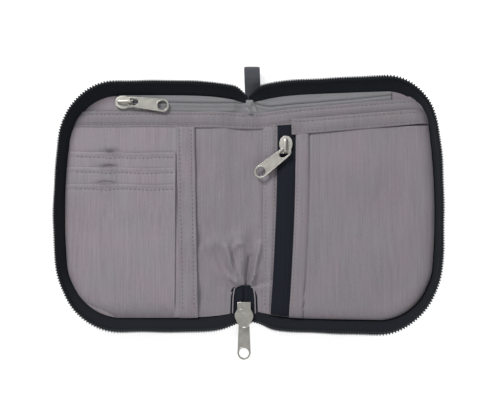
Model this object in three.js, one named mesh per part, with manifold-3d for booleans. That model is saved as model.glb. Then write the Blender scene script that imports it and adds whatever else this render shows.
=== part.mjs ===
// A zip-round passport holder, lying open with its pockets up. Millimetres, +Z up.
// The spine runs along Y. The left cover lies flat, and the right one rises from the spine.
// Each cover is modelled flat in a group whose origin is on its fold line, then turned about that line.
import * as THREE from "three";
import { mergeVertices } from "three/addons/utils/BufferGeometryUtils.js";
import Module from "manifold-3d";

const wasm = await Module();
wasm.setup();

// ---------- Driving dimensions ----------
const LINING_HALF_HEIGHT = 64.5; // a cover's lining, from its middle to its top edge
const LINING_REACH = 103.5; // from the middle of the spine to a cover's far edge
const CORNER_RADIUS = 29;
const SPINE_WIDTH = 22; // between the two fold lines
const SPINE_HALF_LENGTH = 59.5; // the spine is shorter than the covers, so their edges dip to meet it
const SHOULDER = 14; // how far out of the fold line a cover's edge has risen to its full height
const FOLD_HEIGHT = 2; // the fold lines' height above the table
const RIGHT_REST_TILT = THREE.MathUtils.degToRad(10);

const SHELL = 0.8; // outer fabric with its coating
const FOAM = 1.6;
const CLOTH = 0.4; // lining fabric and zip tape
const GAP = 0.2; // between two layers of cloth
const EDGE_GAP = 0.3; // between two pieces that meet edge to edge
const SHELL_MARGIN = 1.2; // the shell's outline stands this far outside the lining's

// Heights above the table of each layer's underside, with the cover flat.
const FOAM_LEVEL = SHELL + GAP;
const LINING_LEVEL = FOAM_LEVEL + FOAM + GAP;
const LAYER = CLOTH + GAP;
const ZIP_POCKET_LEVEL = LINING_LEVEL + LAYER;
const BILL_LEVEL = ZIP_POCKET_LEVEL + LAYER;
const SLIP_LEVEL = BILL_LEVEL + LAYER;
const CARD_LEVEL = SLIP_LEVEL + LAYER;
const POCKET_CHAIN = 5.1; // middle of the top pocket's zip chain
const STASH_CHAIN = 6.9; // middle of the upright zip's chain

// Places across and up the covers. Across is measured from the fold line.
const COVER_WIDTH = LINING_REACH - SPINE_WIDTH / 2;
const NEAR_FOLD = 3; // the inner layers stop this far short of the fold line
const HEADER = [45.4, 54.4]; // the band along the mouth of the wide pocket
const HEADER_SLANT = { left: 0, right: 0.028 }; // rise of that band per millimetre from the fold line
const POCKET_ZIP_V = 59.6;
const POCKET_ZIP_ENDS = { left: 63, right: 71 };
const SLIP_BAND = { top: [20.1, 30.2], bottom: [17.6, 27.4] }; // the band on the slip pocket's open edge
const CARD_MOUTHS = [30.9, 22.0, 12.4];
const CARD_INNER_EDGE = 30.8;
const STASH_HEADER = [40.4, 48.8];
const STASH_HEADER_FROM = 15.1;
const STASH_ZIP = { top: 12.4, bottom: 8.0, upper: 47.4, lower: -63.6 }; // the zip leans towards the fold line
const TAPE_REACH = 5; // from the middle of a pocket's zip to its tape's far edge
const COIL_INNER = 0.5;
const COIL_WIDTH = 1.8;
const COIL_HALF_HEIGHT = 0.75;

// The main zip: its tape stands on the lining's edge and leans outwards.
const WALL_FOOT = LINING_LEVEL + CLOTH + GAP;
const WALL = { from: 0.3, to: 8.2, coil: 9.6, coilRadius: 1.1 };
const LEAN_SIDE = 0.5; // outward share of the tape's width along the far edge
const LEAN_ENDS = 0.7; // and along the top and bottom edges
const WALL_FROM_FOLD = 9.5;
const WALL_STEPS = 64;

// The chain's closed end, set into the foot of the spine.
const ARCH_X = -2.2;
const ARCH_TOP = -46;
const ARCH_WIDTH = 14;
const END_CHAIN = 4.9;
const MAIN_SLIDER_Y = -62;
const MAIN_SLIDER_SCALE = 1.39; // in plan, against the pockets' sliders

const POCKET_SLIDER_U = 60.5;
const STASH_SLIDER_V = 34.5;
const POCKET_PULL_YAW = THREE.MathUtils.degToRad(-6);
const STASH_PULL_YAW = THREE.MathUtils.degToRad(-51);

const LOOP = { x: 3, width: 7.6, from: 53, to: 81, strap: 0.7, eye: 5, base: 1 };

// ---------- Materials ----------
function cloth(colour, roughness) {
  return new THREE.MeshStandardMaterial({ color: colour, roughness, metalness: 0 });
}
const MATERIALS = {
  shell: cloth(0x22242b, 0.85),
  foam: cloth(0x9a9a9a, 0.95),
  lining: cloth(0x8b858c, 0.7),
  tape: cloth(0x1d1f26, 0.9),
  greyTape: cloth(0x86868a, 0.85),
  coil: cloth(0x15171b, 0.45),
  greyCoil: cloth(0x8c8c90, 0.45),
  webbing: cloth(0x46484e, 0.9),
  metal: new THREE.MeshStandardMaterial({ color: 0xb4b1aa, roughness: 0.35, metalness: 1 }),
};

// ---------- Solids ----------
function toSolid(geometry) {
  const bare = geometry.clone();
  bare.deleteAttribute("normal");
  bare.deleteAttribute("uv");
  const merged = mergeVertices(bare, 1e-4);
  return new wasm.Manifold(
    new wasm.Mesh({
      numProp: 3,
      vertProperties: new Float32Array(merged.attributes.position.array),
      triVerts: new Uint32Array(merged.index.array),
    }),
  );
}

function toGeometry(solid) {
  const mesh = solid.getMesh();
  const geometry = new THREE.BufferGeometry();
  geometry.setAttribute("position", new THREE.BufferAttribute(mesh.vertProperties, 3));
  geometry.setIndex(new THREE.BufferAttribute(mesh.triVerts, 1));
  geometry.computeVertexNormals();
  return geometry;
}

function join(...geometries) {
  return toGeometry(geometries.map(toSolid).reduce((whole, next) => whole.add(next)));
}

function cut(geometry, ...tools) {
  return toGeometry(tools.map(toSolid).reduce((whole, tool) => whole.subtract(tool), toSolid(geometry)));
}

function common(geometry, other) {
  return toGeometry(toSolid(geometry).intersect(toSolid(other)));
}

// A flat sheet of the shape, with its underside at that height.
function sheet(shape, underside, thickness) {
  const options = { depth: thickness, bevelEnabled: false, curveSegments: 10 };
  return new THREE.ExtrudeGeometry(shape, options).translate(0, 0, underside);
}

function polygon(...corners) {
  return new THREE.Shape(corners.map(([x, y]) => new THREE.Vector2(x, y)));
}

function block(x0, x1, y0, y1, z0, z1) {
  return new THREE.BoxGeometry(x1 - x0, y1 - y0, z1 - z0).translate((x0 + x1) / 2, (y0 + y1) / 2, (z0 + z1) / 2);
}

// A closed solid through rings of points, each ring convex and with as many points as the first.
function loft(rings) {
  const sides = rings[0].length;
  const index = [];
  for (let i = 0; i + 1 < rings.length; i++)
    for (let j = 0; j < sides; j++) {
      const [a, b] = [i * sides + j, i * sides + ((j + 1) % sides)];
      index.push(a, b, a + sides, b, b + sides, a + sides);
    }
  const last = (rings.length - 1) * sides;
  for (let j = 1; j + 1 < sides; j++) {
    index.push(0, j + 1, j);
    index.push(last, last + j, last + j + 1);
  }
  const points = rings.flat();
  const volume = index.reduce((sum, _, k) => {
    if (k % 3) return sum;
    const [a, b, c] = [points[index[k]], points[index[k + 1]], points[index[k + 2]]];
    return sum + a.dot(b.clone().cross(c));
  }, 0);
  if (volume < 0) index.reverse();
  const geometry = new THREE.BufferGeometry().setFromPoints(points);
  geometry.setIndex(index);
  geometry.computeVertexNormals();
  return geometry;
}

// ---------- A cover's outline ----------
// The edge of a cover, for a cover on +X, from the fold line at the bottom round to the fold line at the top.
// A positive inset lies inside the lining's edge.
function coverEdge(inset, from, dip = 3) {
  const reach = COVER_WIDTH - inset;
  const half = LINING_HALF_HEIGHT - inset;
  const radius = CORNER_RADIUS - inset;
  const neck = half - dip; // half the height where the edge starts
  const edge = new THREE.Path();
  edge.moveTo(from, -neck);
  const bend = (SHOULDER + from) / 2;
  edge.quadraticCurveTo(bend, -half, SHOULDER, -half);
  edge.lineTo(reach - radius, -half);
  edge.absarc(reach - radius, radius - half, radius, -Math.PI / 2, 0, false);
  edge.lineTo(reach, half - radius);
  edge.absarc(reach - radius, half - radius, radius, 0, Math.PI / 2, false);
  edge.lineTo(SHOULDER, half);
  edge.quadraticCurveTo(bend, half, from, neck);
  return edge;
}

function coverShape(side, inset, from) {
  const points = coverEdge(inset, from).getPoints(10);
  return new THREE.Shape(points.map((p) => new THREE.Vector2(side * p.x, p.y)));
}

// Everything inside a cover's outline, to trim the pockets with.
function insideCover(side, inset) {
  return sheet(coverShape(side, inset, EDGE_GAP), -1, 20);
}

// A layer between two distances from the fold line and two heights up the cover, trimmed to the outline.
function layer(side, [u0, u1], [v0, v1], underside, thickness = CLOTH) {
  const [x0, x1] = side > 0 ? [u0, u1] : [-u1, -u0];
  return common(block(x0, x1, v0, v1, underside, underside + thickness), insideCover(side, 0.5));
}

function leaningBand(side, topEdges, bottomEdges, top, bottom, underside, thickness) {
  const corners = [
    [side * topEdges[0], top],
    [side * topEdges[1], top],
    [side * bottomEdges[1], bottom],
    [side * bottomEdges[0], bottom],
  ];
  return common(sheet(polygon(...corners), underside, thickness), insideCover(side, 0.5));
}

// ---------- The main zip's tape and coil ----------
function wallFrames() {
  const edge = coverEdge(0, WALL_FROM_FOLD, 1);
  const length = edge.getLength();
  return Array.from({ length: WALL_STEPS + 1 }, (_, i) => {
    const t = i / WALL_STEPS;
    const step = 0.5 / length;
    const before = edge.getPointAt(Math.max(0, t - step));
    const after = edge.getPointAt(Math.min(1, t + step));
    const along = after.sub(before).normalize();
    return { point: edge.getPointAt(t), outward: new THREE.Vector2(along.y, -along.x) };
  });
}

// Sweeps a section round the cover. The section is pairs of (distance up the tape, distance off its face).
function aroundCover(side, section) {
  return loft(
    wallFrames().map(({ point, outward }) => {
      const lean = THREE.MathUtils.lerp(LEAN_SIDE, LEAN_ENDS, Math.abs(outward.y));
      const rise = Math.sqrt(1 - lean * lean);
      return section.map(([up, off]) => {
        const out = up * lean + off * rise;
        const height = WALL_FOOT + up * rise - off * lean;
        return new THREE.Vector3(side * (point.x + outward.x * out), point.y + outward.y * out, height);
      });
    }),
  );
}

function wallTape(side) {
  return aroundCover(side, [[WALL.from, 0], [WALL.to, 0], [WALL.to, CLOTH], [WALL.from, CLOTH]]);
}

function wallCoil(side) {
  const corners = Array.from({ length: 8 }, (_, i) => {
    const angle = (i * Math.PI) / 4;
    return [WALL.coil + WALL.coilRadius * Math.cos(angle), CLOTH / 2 + WALL.coilRadius * Math.sin(angle)];
  });
  return aroundCover(side, corners);
}

// ---------- Sliders and pulls ----------
// The body lies along Y with its nose to -Y, its pull's side to +Z, and the chain's middle at z = 0.
const SLIDER = {
  plate: 0.8,
  channel: 0.9, // half the height between the plates
  nose: -5,
  tail: 5.2,
  shoulder: 3.85,
  tailHalf: 3.2,
  slot: 0.4, // half the height of the slot that the tape runs in
  flange: 2.75,
  bridgeWidth: 1.3,
  bridge: [-3.3, 5],
  bridgeRise: 2.6,
  strip: 0.75, // thickness of the bridge's strap and legs
  web: 0.2, // half the thickness of the wall between the two tapes' ways
};
const PULL = { width: 6.4, endWidth: 7.6, length: 23.5, thickness: 1, window: 4.6, bar: 1, hole: 2.75 };
const PULL_DROOP = THREE.MathUtils.degToRad(2.8);
const PULL_BAR_Z = SLIDER.channel + SLIDER.plate + 0.95;
const BAR_FROM_LEG = 1.44; // from the middle of a bridge's leg to the middle of the pull's bar

function sliderOutline() {
  const { nose, tail, shoulder, tailHalf } = SLIDER;
  const shape = new THREE.Shape();
  shape.moveTo(-tailHalf, tail);
  shape.lineTo(-tailHalf, 2.2);
  shape.quadraticCurveTo(-shoulder, 1.2, -shoulder, -0.6);
  shape.quadraticCurveTo(-shoulder + 0.2, -3.6, -1.2, nose);
  shape.lineTo(1.2, nose);
  shape.quadraticCurveTo(shoulder - 0.2, -3.6, shoulder, -0.6);
  shape.quadraticCurveTo(shoulder, 1.2, tailHalf, 2.2);
  shape.lineTo(tailHalf, tail);
  return shape;
}

function sliderBody(scale = 1) {
  const { plate, channel, slot, flange, bridge, bridgeRise, bridgeWidth, strip, web } = SLIDER;
  const top = channel + plate;
  const bothPlates = sheet(sliderOutline(), -top, 2 * top);
  const chainWay = block(-flange, flange, -9, 9, -channel, channel);
  const tapeSlot = block(-9, 9, -9, 9, -slot, slot);
  const mouth = block(-9, 9, -9, -1.2, -channel, channel);
  const wedge = block(-web, web, -4, -1.4, -top + 0.1, top - 0.1);
  const roof = top + bridgeRise;
  const bridgeBlock = block(-bridgeWidth / 2, bridgeWidth / 2, bridge[0], bridge[1], top - 0.2, roof);
  const bridgeEye = block(-2, 2, bridge[0] + strip, bridge[1] - strip, top, roof - strip);
  const body = cut(bothPlates, chainWay, tapeSlot, mouth);
  return join(body, wedge, cut(bridgeBlock, bridgeEye)).scale(scale, scale, 1);
}

// The pull lies along -Y from its bar, which is at the origin.
function pullBody() {
  const { width, endWidth, length, thickness, window, bar, hole } = PULL;
  const near = bar / 2;
  const farCentre = near - length + endWidth / 2;
  const outline = new THREE.Shape();
  outline.moveTo(-width / 2 + 0.8, near);
  outline.lineTo(width / 2 - 0.8, near);
  outline.quadraticCurveTo(width / 2, near, width / 2, near - 0.8);
  outline.lineTo(endWidth / 2, farCentre);
  outline.absarc(0, farCentre, endWidth / 2, 0, -Math.PI, true);
  outline.lineTo(-width / 2, near - 0.8);
  outline.quadraticCurveTo(-width / 2, near, -width / 2 + 0.8, near);
  const opening = polygon(
    [-window / 2, -near],
    [window / 2, -near],
    [window / 2, -near - 4.2],
    [window / 2 - 0.9, -near - 5],
    [-window / 2 + 0.9, -near - 5],
    [-window / 2, -near - 4.2],
  );
  const eye = new THREE.Shape();
  eye.absarc(0, farCentre, hole, 0, 2 * Math.PI, false);
  return cut(
    sheet(outline, -thickness / 2, thickness),
    sheet(opening, -2, 4),
    sheet(eye, -2, 4),
  );
}

// ---------- The scene graph ----------
const holder = new THREE.Group();
const leftCover = new THREE.Group();
const rightCover = new THREE.Group();
leftCover.position.set(-SPINE_WIDTH / 2, 0, FOLD_HEIGHT);
rightCover.position.set(SPINE_WIDTH / 2, 0, FOLD_HEIGHT);
rightCover.rotation.y = -RIGHT_REST_TILT;
holder.add(leftCover, rightCover);

// In a cover's group heights are counted from the fold line, so its pieces are lowered by that much.
function add(parent, name, geometry, material) {
  const mesh = new THREE.Mesh(geometry, material);
  mesh.name = name;
  if (parent !== holder) mesh.position.z = -FOLD_HEIGHT;
  parent.add(mesh);
  return mesh;
}

// ---------- Parts that both covers have ----------
function coverShell(side) {
  const outer = sheet(coverShape(side, -SHELL_MARGIN, EDGE_GAP), 0, LINING_LEVEL + GAP);
  const inner = sheet(coverShape(side, SHELL - SHELL_MARGIN, -5), SHELL, 9);
  return cut(outer, inner);
}

function addCover(group, side, name) {
  const zipEnd = POCKET_ZIP_ENDS[name];
  const across = [NEAR_FOLD, COVER_WIDTH];
  const upTo = (v) => [-LINING_HALF_HEIGHT, v];
  add(group, `${name}_cover_shell`, coverShell(side), MATERIALS.shell);
  add(group, `${name}_cover_padding`, sheet(coverShape(side, 0.3, 0.8), FOAM_LEVEL, FOAM), MATERIALS.foam);
  add(group, `${name}_lining`, sheet(coverShape(side, 0, 1.2), LINING_LEVEL, CLOTH), MATERIALS.lining);
  add(group, `${name}_main_zip_tape`, wallTape(side), MATERIALS.tape);
  add(group, `${name}_main_zip_coil`, wallCoil(side), MATERIALS.coil);

  const zipAcross = [NEAR_FOLD, zipEnd];
  const coilInner = POCKET_ZIP_V - COIL_INNER;
  const coilOuter = coilInner - COIL_WIDTH;
  const tapeLevel = POCKET_CHAIN - CLOTH / 2;
  const coilLevel = POCKET_CHAIN - COIL_HALF_HEIGHT;
  const mirrored = ([a, b]) => [2 * POCKET_ZIP_V - b, 2 * POCKET_ZIP_V - a];
  const lowerTape = [HEADER[1] + 0.5, coilOuter - EDGE_GAP];
  const lowerCoil = [coilOuter, coilInner];
  const strips = [
    ["zip_tape_lower", lowerTape, tapeLevel, CLOTH, MATERIALS.greyTape],
    ["zip_coil_lower", lowerCoil, coilLevel, 2 * COIL_HALF_HEIGHT, MATERIALS.greyCoil],
    ["zip_coil_upper", mirrored(lowerCoil), coilLevel, 2 * COIL_HALF_HEIGHT, MATERIALS.greyCoil],
    ["zip_tape_upper", mirrored(lowerTape), tapeLevel, CLOTH, MATERIALS.greyTape],
  ];
  for (const [piece, upCover, underside, thickness, material] of strips)
    add(group, `${name}_pocket_${piece}`, layer(side, zipAcross, upCover, underside, thickness), material);

  add(group, `${name}_zip_pocket_front`, layer(side, across, upTo(HEADER[1]), ZIP_POCKET_LEVEL), MATERIALS.lining);
  const rise = (u) => HEADER_SLANT[name] * u;
  const [u0, u1] = across;
  const [low, high] = HEADER;
  const below = low - EDGE_GAP;
  const front = polygon(
    ...[[u0, -LINING_HALF_HEIGHT], [u1, -LINING_HALF_HEIGHT], [u1, below + rise(u1)], [u0, below + rise(u0)]]
      .map(([u, v]) => [side * u, v]),
  );
  const band = polygon(
    ...[[u0, low + rise(u0)], [u1, low + rise(u1)], [u1, high + rise(u1)], [u0, high + rise(u0)]]
      .map(([u, v]) => [side * u, v]),
  );
  const trim = insideCover(side, 0.5);
  add(group, `${name}_wide_pocket_front`, common(sheet(front, BILL_LEVEL, CLOTH), trim), MATERIALS.lining);
  add(group, `${name}_wide_pocket_band`, common(sheet(band, BILL_LEVEL, 2 * CLOTH), trim), MATERIALS.lining);
}

addCover(leftCover, -1, "left");
addCover(rightCover, 1, "right");

// ---------- Left cover: slip pocket and card slots ----------
const underBand = HEADER[0] - EDGE_GAP;
const slipTop = [SLIP_BAND.top[0], COVER_WIDTH];
add(leftCover, "slip_pocket_front", layer(-1, slipTop, [-LINING_HALF_HEIGHT, underBand], SLIP_LEVEL), MATERIALS.lining);
const slipBand = leaningBand(-1, SLIP_BAND.top, SLIP_BAND.bottom, underBand, -LINING_HALF_HEIGHT, CARD_LEVEL, CLOTH);
add(leftCover, "slip_pocket_band", slipBand, MATERIALS.lining);
CARD_MOUTHS.forEach((mouth, i) => {
  const slot = layer(-1, [CARD_INNER_EDGE, COVER_WIDTH], [-LINING_HALF_HEIGHT, mouth], CARD_LEVEL + i * LAYER);
  add(leftCover, `card_slot_${i + 1}`, slot, MATERIALS.lining);
});

// ---------- Right cover: the pocket with the upright zip ----------
// A leaning strip between two distances from the zip's middle, one of them on each side of it.
function stashStrip([from, to], underside, thickness, top = STASH_ZIP.upper) {
  const { top: topU, bottom: bottomU, lower } = STASH_ZIP;
  return leaningBand(1, [topU + from, topU + to], [bottomU + from, bottomU + to], top, lower, underside, thickness);
}

const stashTape = STASH_CHAIN - CLOTH / 2;
const stashCoil = STASH_CHAIN - COIL_HALF_HEIGHT;
const coilSpan = [COIL_INNER, COIL_INNER + COIL_WIDTH];
const tapeSpan = [coilSpan[1] + EDGE_GAP, TAPE_REACH];
const otherSide = ([a, b]) => [-b, -a];
const stashAcross = [NEAR_FOLD, COVER_WIDTH];
add(rightCover, "stash_pocket_back", layer(1, stashAcross, [-LINING_HALF_HEIGHT, underBand], SLIP_LEVEL), MATERIALS.lining);
add(rightCover, "stash_zip_tape_inner", stashStrip(otherSide(tapeSpan), stashTape, CLOTH), MATERIALS.tape);
add(rightCover, "stash_zip_tape_outer", stashStrip(tapeSpan, stashTape, CLOTH), MATERIALS.tape);
add(rightCover, "stash_zip_coil_inner", stashStrip(otherSide(coilSpan), stashCoil, 2 * COIL_HALF_HEIGHT), MATERIALS.coil);
add(rightCover, "stash_zip_coil_outer", stashStrip(coilSpan, stashCoil, 2 * COIL_HALF_HEIGHT), MATERIALS.coil);
const hemInner = common(
  stashStrip([-9.5, -TAPE_REACH - EDGE_GAP], stashTape, CLOTH),
  block(NEAR_FOLD, COVER_WIDTH, -90, 90, 0, 20),
);
add(rightCover, "stash_pocket_inner_hem", hemInner, MATERIALS.lining);
const stashFront = stashStrip([TAPE_REACH + EDGE_GAP, 2 * COVER_WIDTH], stashTape, CLOTH, STASH_HEADER[1]);
add(rightCover, "stash_pocket_front", stashFront, MATERIALS.lining);
const stashBandLevel = stashTape + LAYER;
const stashBand = layer(1, [STASH_HEADER_FROM, COVER_WIDTH], STASH_HEADER, stashBandLevel, 2 * CLOTH);
add(rightCover, "stash_pocket_band", stashBand, MATERIALS.lining);

// ---------- Spine ----------
const spineHalf = SPINE_WIDTH / 2 - EDGE_GAP;
const archHalf = ARCH_WIDTH / 2;
const archRadius = 6;

function archShape(margin) {
  const half = archHalf + margin;
  const top = ARCH_TOP + margin;
  const shape = new THREE.Shape();
  shape.moveTo(ARCH_X - half, -90);
  shape.lineTo(ARCH_X + half, -90);
  shape.lineTo(ARCH_X + half, top - archRadius);
  shape.quadraticCurveTo(ARCH_X + half, top, ARCH_X + half - archRadius, top);
  shape.lineTo(ARCH_X - half + archRadius, top);
  shape.quadraticCurveTo(ARCH_X - half, top, ARCH_X - half, top - archRadius);
  return shape;
}

const archWay = sheet(archShape(EDGE_GAP), -5, 30);
function spineSheet(half, length, underside, thickness) {
  return cut(block(-half, half, -length, length, underside, underside + thickness), archWay);
}
add(holder, "spine_shell", spineSheet(spineHalf, SPINE_HALF_LENGTH, 0, SHELL), MATERIALS.shell);
const spinePadding = block(-8, 8, 2 - SPINE_HALF_LENGTH, LOOP.from - EDGE_GAP, FOAM_LEVEL, FOAM_LEVEL + FOAM);
add(holder, "spine_padding", cut(spinePadding, archWay), MATERIALS.foam);
add(holder, "spine_lining", spineSheet(8.4, SPINE_HALF_LENGTH - 0.5, LINING_LEVEL, CLOTH), MATERIALS.lining);
const spineWidePocket = cut(
  block(-8, 8, 1 - SPINE_HALF_LENGTH, HEADER[0] - EDGE_GAP, ZIP_POCKET_LEVEL, ZIP_POCKET_LEVEL + CLOTH),
  archWay,
);
add(holder, "spine_wide_pocket_front", spineWidePocket, MATERIALS.lining);
const spineBand = block(-8, 8, HEADER[0], HEADER[1] - 0.6, ZIP_POCKET_LEVEL, ZIP_POCKET_LEVEL + 2 * CLOTH);
add(holder, "spine_wide_pocket_band", spineBand, MATERIALS.lining);
add(holder, "spine_pocket_zip_tape", block(-7, 7, 54.2, 56.3, ZIP_POCKET_LEVEL, ZIP_POCKET_LEVEL + CLOTH), MATERIALS.greyTape);
add(holder, "spine_pocket_zip_coil", block(-7, 7, 56.6, 58.8, ZIP_POCKET_LEVEL, ZIP_POCKET_LEVEL + 1.2), MATERIALS.greyCoil);

// The closed end of the main chain: two tapes sewn into the arch, with the meshed coil between them.
const endTapeSpan = [2.6, 6];
const endFoot = -66.5;
for (const [name, [from, to]] of [
  ["main_end_tape_left", otherSide(endTapeSpan)],
  ["main_end_tape_right", endTapeSpan],
]) {
  const strip = block(ARCH_X + from, ARCH_X + to, endFoot, ARCH_TOP, END_CHAIN - CLOTH / 2, END_CHAIN + CLOTH / 2);
  add(holder, name, common(strip, sheet(archShape(0), -5, 30)), MATERIALS.tape);
}
const endCoil = block(ARCH_X + COIL_INNER, ARCH_X + 2.3, endFoot, ARCH_TOP - 0.8, END_CHAIN - 0.75, END_CHAIN + 0.75);
const endCoilMirror = block(ARCH_X - 2.3, ARCH_X - COIL_INNER, endFoot, ARCH_TOP - 0.8, END_CHAIN - 0.75, END_CHAIN + 0.75);
add(holder, "main_end_coil_right", endCoil, MATERIALS.coil);
add(holder, "main_end_coil_left", endCoilMirror, MATERIALS.coil);

// A webbing loop sewn into the head of the spine, its eye across X.
function loopStrap() {
  const { x, width, from, to, strap, eye, base } = LOOP;
  const eyeRadius = eye / 2;
  const radius = eyeRadius + strap;
  const middle = base + radius;
  const centre = to - radius;
  const neck = centre - 13;
  const outline = new THREE.Shape();
  outline.moveTo(from, base);
  outline.lineTo(centre, base);
  outline.absarc(centre, middle, radius, -Math.PI / 2, Math.PI / 2, false);
  outline.lineTo(neck + 5, base + 2 * radius);
  outline.lineTo(neck, base + 2 * strap + GAP);
  outline.lineTo(from, base + 2 * strap + GAP);
  const hole = new THREE.Path();
  hole.moveTo(neck + 1.5, base + strap);
  hole.lineTo(centre, base + strap);
  hole.absarc(centre, middle, eyeRadius, -Math.PI / 2, Math.PI / 2, false);
  hole.lineTo(neck + 5.4, base + strap + eye);
  outline.holes.push(hole);
  const options = { depth: width, bevelEnabled: false, curveSegments: 10 };
  return new THREE.ExtrudeGeometry(outline, options)
    .rotateX(Math.PI / 2)
    .rotateZ(Math.PI / 2)
    .translate(x - width / 2, 0, 0);
}
add(holder, "webbing_loop", loopStrap(), MATERIALS.webbing);

// ---------- Sliders and their pulls ----------
// A slider in its place, with its pull hanging on one leg of the bridge: the nose's (-1) or the tail's (1).
function addSlider(parent, name, { position, turn, flip = 0, scale = 1, leg = 1, yaw = 0, droop = PULL_DROOP }) {
  const frame = new THREE.Group();
  frame.position.set(...position);
  frame.rotation.set(0, flip, turn, "ZYX");
  parent.add(frame);
  const body = new THREE.Mesh(sliderBody(scale), MATERIALS.metal);
  body.name = `${name}_slider`;
  frame.add(body);
  const legY = (leg > 0 ? SLIDER.bridge[1] - SLIDER.strip / 2 : SLIDER.bridge[0] + SLIDER.strip / 2) * scale;
  const geometry = pullBody()
    .rotateX(droop)
    .translate(0, BAR_FROM_LEG, 0)
    .rotateZ((leg > 0 ? Math.PI : 0) + yaw);
  const pull = new THREE.Mesh(geometry, MATERIALS.metal);
  pull.name = `${name}_pull`;
  pull.position.set(0, legY, PULL_BAR_Z);
  frame.add(pull);
}

const stashAlong = (STASH_SLIDER_V - STASH_ZIP.lower) / (STASH_ZIP.upper - STASH_ZIP.lower);
const stashLean = Math.atan2(STASH_ZIP.top - STASH_ZIP.bottom, STASH_ZIP.upper - STASH_ZIP.lower);
const stashU = THREE.MathUtils.lerp(STASH_ZIP.bottom, STASH_ZIP.top, stashAlong);
addSlider(leftCover, "pocket", {
  position: [-POCKET_SLIDER_U, POCKET_ZIP_V, POCKET_CHAIN - FOLD_HEIGHT],
  turn: -Math.PI / 2,
  yaw: POCKET_PULL_YAW,
});
addSlider(rightCover, "stash", {
  position: [stashU, STASH_SLIDER_V, STASH_CHAIN - FOLD_HEIGHT],
  turn: Math.PI - stashLean,
  yaw: STASH_PULL_YAW,
});
addSlider(holder, "main", {
  position: [ARCH_X, MAIN_SLIDER_Y, END_CHAIN],
  turn: 0,
  flip: Math.PI,
  scale: MAIN_SLIDER_SCALE,
  leg: -1,
});

export default holder;
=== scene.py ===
"""A zip-round passport holder lying open: cloth, webbing, nylon coil and plated metal around its CAD frame.

Lengths in this file are millimetres and are turned into metres when a mesh is made.
The holder is first described flat: s runs across it from the middle of the spine, v along the spine, and h up
from the table. place() then raises the right cover about its fold line.
"""
import math

import bmesh
import bpy
import numpy as np
from mathutils import Matrix, Vector


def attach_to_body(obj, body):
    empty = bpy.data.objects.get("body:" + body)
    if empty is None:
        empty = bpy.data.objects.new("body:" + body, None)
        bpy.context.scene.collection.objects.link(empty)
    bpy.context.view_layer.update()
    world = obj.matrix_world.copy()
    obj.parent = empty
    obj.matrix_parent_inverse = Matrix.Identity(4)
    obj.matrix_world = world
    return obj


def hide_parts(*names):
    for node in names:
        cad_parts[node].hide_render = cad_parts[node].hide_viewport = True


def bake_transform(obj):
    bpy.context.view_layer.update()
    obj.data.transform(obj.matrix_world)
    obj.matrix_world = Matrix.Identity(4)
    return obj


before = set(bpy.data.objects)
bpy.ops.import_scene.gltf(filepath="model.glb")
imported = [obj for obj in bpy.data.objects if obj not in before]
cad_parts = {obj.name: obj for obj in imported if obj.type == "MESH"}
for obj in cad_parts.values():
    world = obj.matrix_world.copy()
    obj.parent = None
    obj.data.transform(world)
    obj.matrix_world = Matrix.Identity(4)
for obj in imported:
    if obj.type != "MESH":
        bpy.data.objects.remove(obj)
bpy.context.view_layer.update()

# ---------- Sizes, in millimetres ----------
MM = 0.001
FOLD = 11.0  # distance of each fold line from the middle of the spine
FOLD_HEIGHT = 2.0
TILT = math.radians(10)
FOLD_BLEND = 5.0  # the cloth turns over this far on each side of a fold line
REACH = 103.5
HALF = 64.1
# Corner radii at the top and the foot of the left and the right cover, and how far the far edges bow.
CORNERS = {-1: (27.0, 30.8), 1: (22.8, 29.2)}
BOW_OUT, BOW_IN = 1.5, 2.9
SEAM = 3.7  # height at which every layer meets the main zip's tape
CLOTH = 0.32  # thickness of one layer of lining
HEM_CLOTH, HEM_EDGE = 0.45, 0.3  # thickness of a folded hem or band, and of its rounded edge
TAPE_CLOTH = 0.38
# Heights of the lining under the pocket slider, and of the zip tapes inside the slider's slot.
SLIDER_BED, SLIDER_SLOT = 2.88, 4.91

LEVEL = {"lining": 3.0, "zip_pocket": 3.6, "wide": 4.2, "band": 4.75, "slip": 4.9,
         "card": 5.35, "stash": 6.9, "stash_band": 7.7}
HEADER = (45.4, 54.4)
HEADER_SLANT = 0.05
POCKET_ZIP = 59.6
SLIP_BAND = ((31.1, 41.2), (28.6, 38.4))  # from the middle of the spine, at the top and at the bottom
CARD_MOUTHS = (30.9, 22.0, 12.4)
CARD_EDGE = 41.6
STASH_HEADER = (40.4, 48.8)
ARCH_S, ARCH_TOP, ARCH_HALF = -2.2, -46.0, 7.0
SLIDER_V = -62.0
COIL_PITCH = 1.36
STITCH_PITCH = 2.35


# ---------- Placing ----------
def smooth(t):
    t = np.clip(t, 0.0, 1.0)
    return t * t * (3 - 2 * t)


def place(s, v, h):
    """Row-frame points, in millimetres, of points of the flat holder."""
    s, v, h = np.broadcast_arrays(np.asarray(s, float), np.asarray(v, float), np.asarray(h, float))
    width = 2 * FOLD_BLEND
    t = np.clip((s - FOLD + FOLD_BLEND) / width, 0, 1)
    angle = TILT * smooth(t)
    turned = width * (t**3 - t**4 / 2) + np.maximum(0, s - FOLD - FOLD_BLEND)
    x = s - (1 - math.cos(TILT)) * turned - (h - FOLD_HEIGHT) * np.sin(angle)
    z = FOLD_HEIGHT + math.sin(TILT) * turned + (h - FOLD_HEIGHT) * np.cos(angle)
    return np.stack([x, v, z], -1)


def bow(v):
    """The far edges bow outwards: how far beyond the straight edge the lining reaches."""
    return BOW_OUT - BOW_IN * np.minimum(1, (np.asarray(v) / 46.0) ** 2)


def side_name(side):
    return "left" if side < 0 else "right"


def bell(x, width):
    return np.exp(-((x / width) ** 2))


def hump(t):
    """One half wave, from 0 through 1 and back to 0 as t goes from 0 to 1."""
    return np.sin(np.clip(t, 0, 1) * np.pi)


def corner_radius(side, v):
    top, foot = CORNERS[side]
    return np.where(np.asarray(v) > 0, top, foot)


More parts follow.
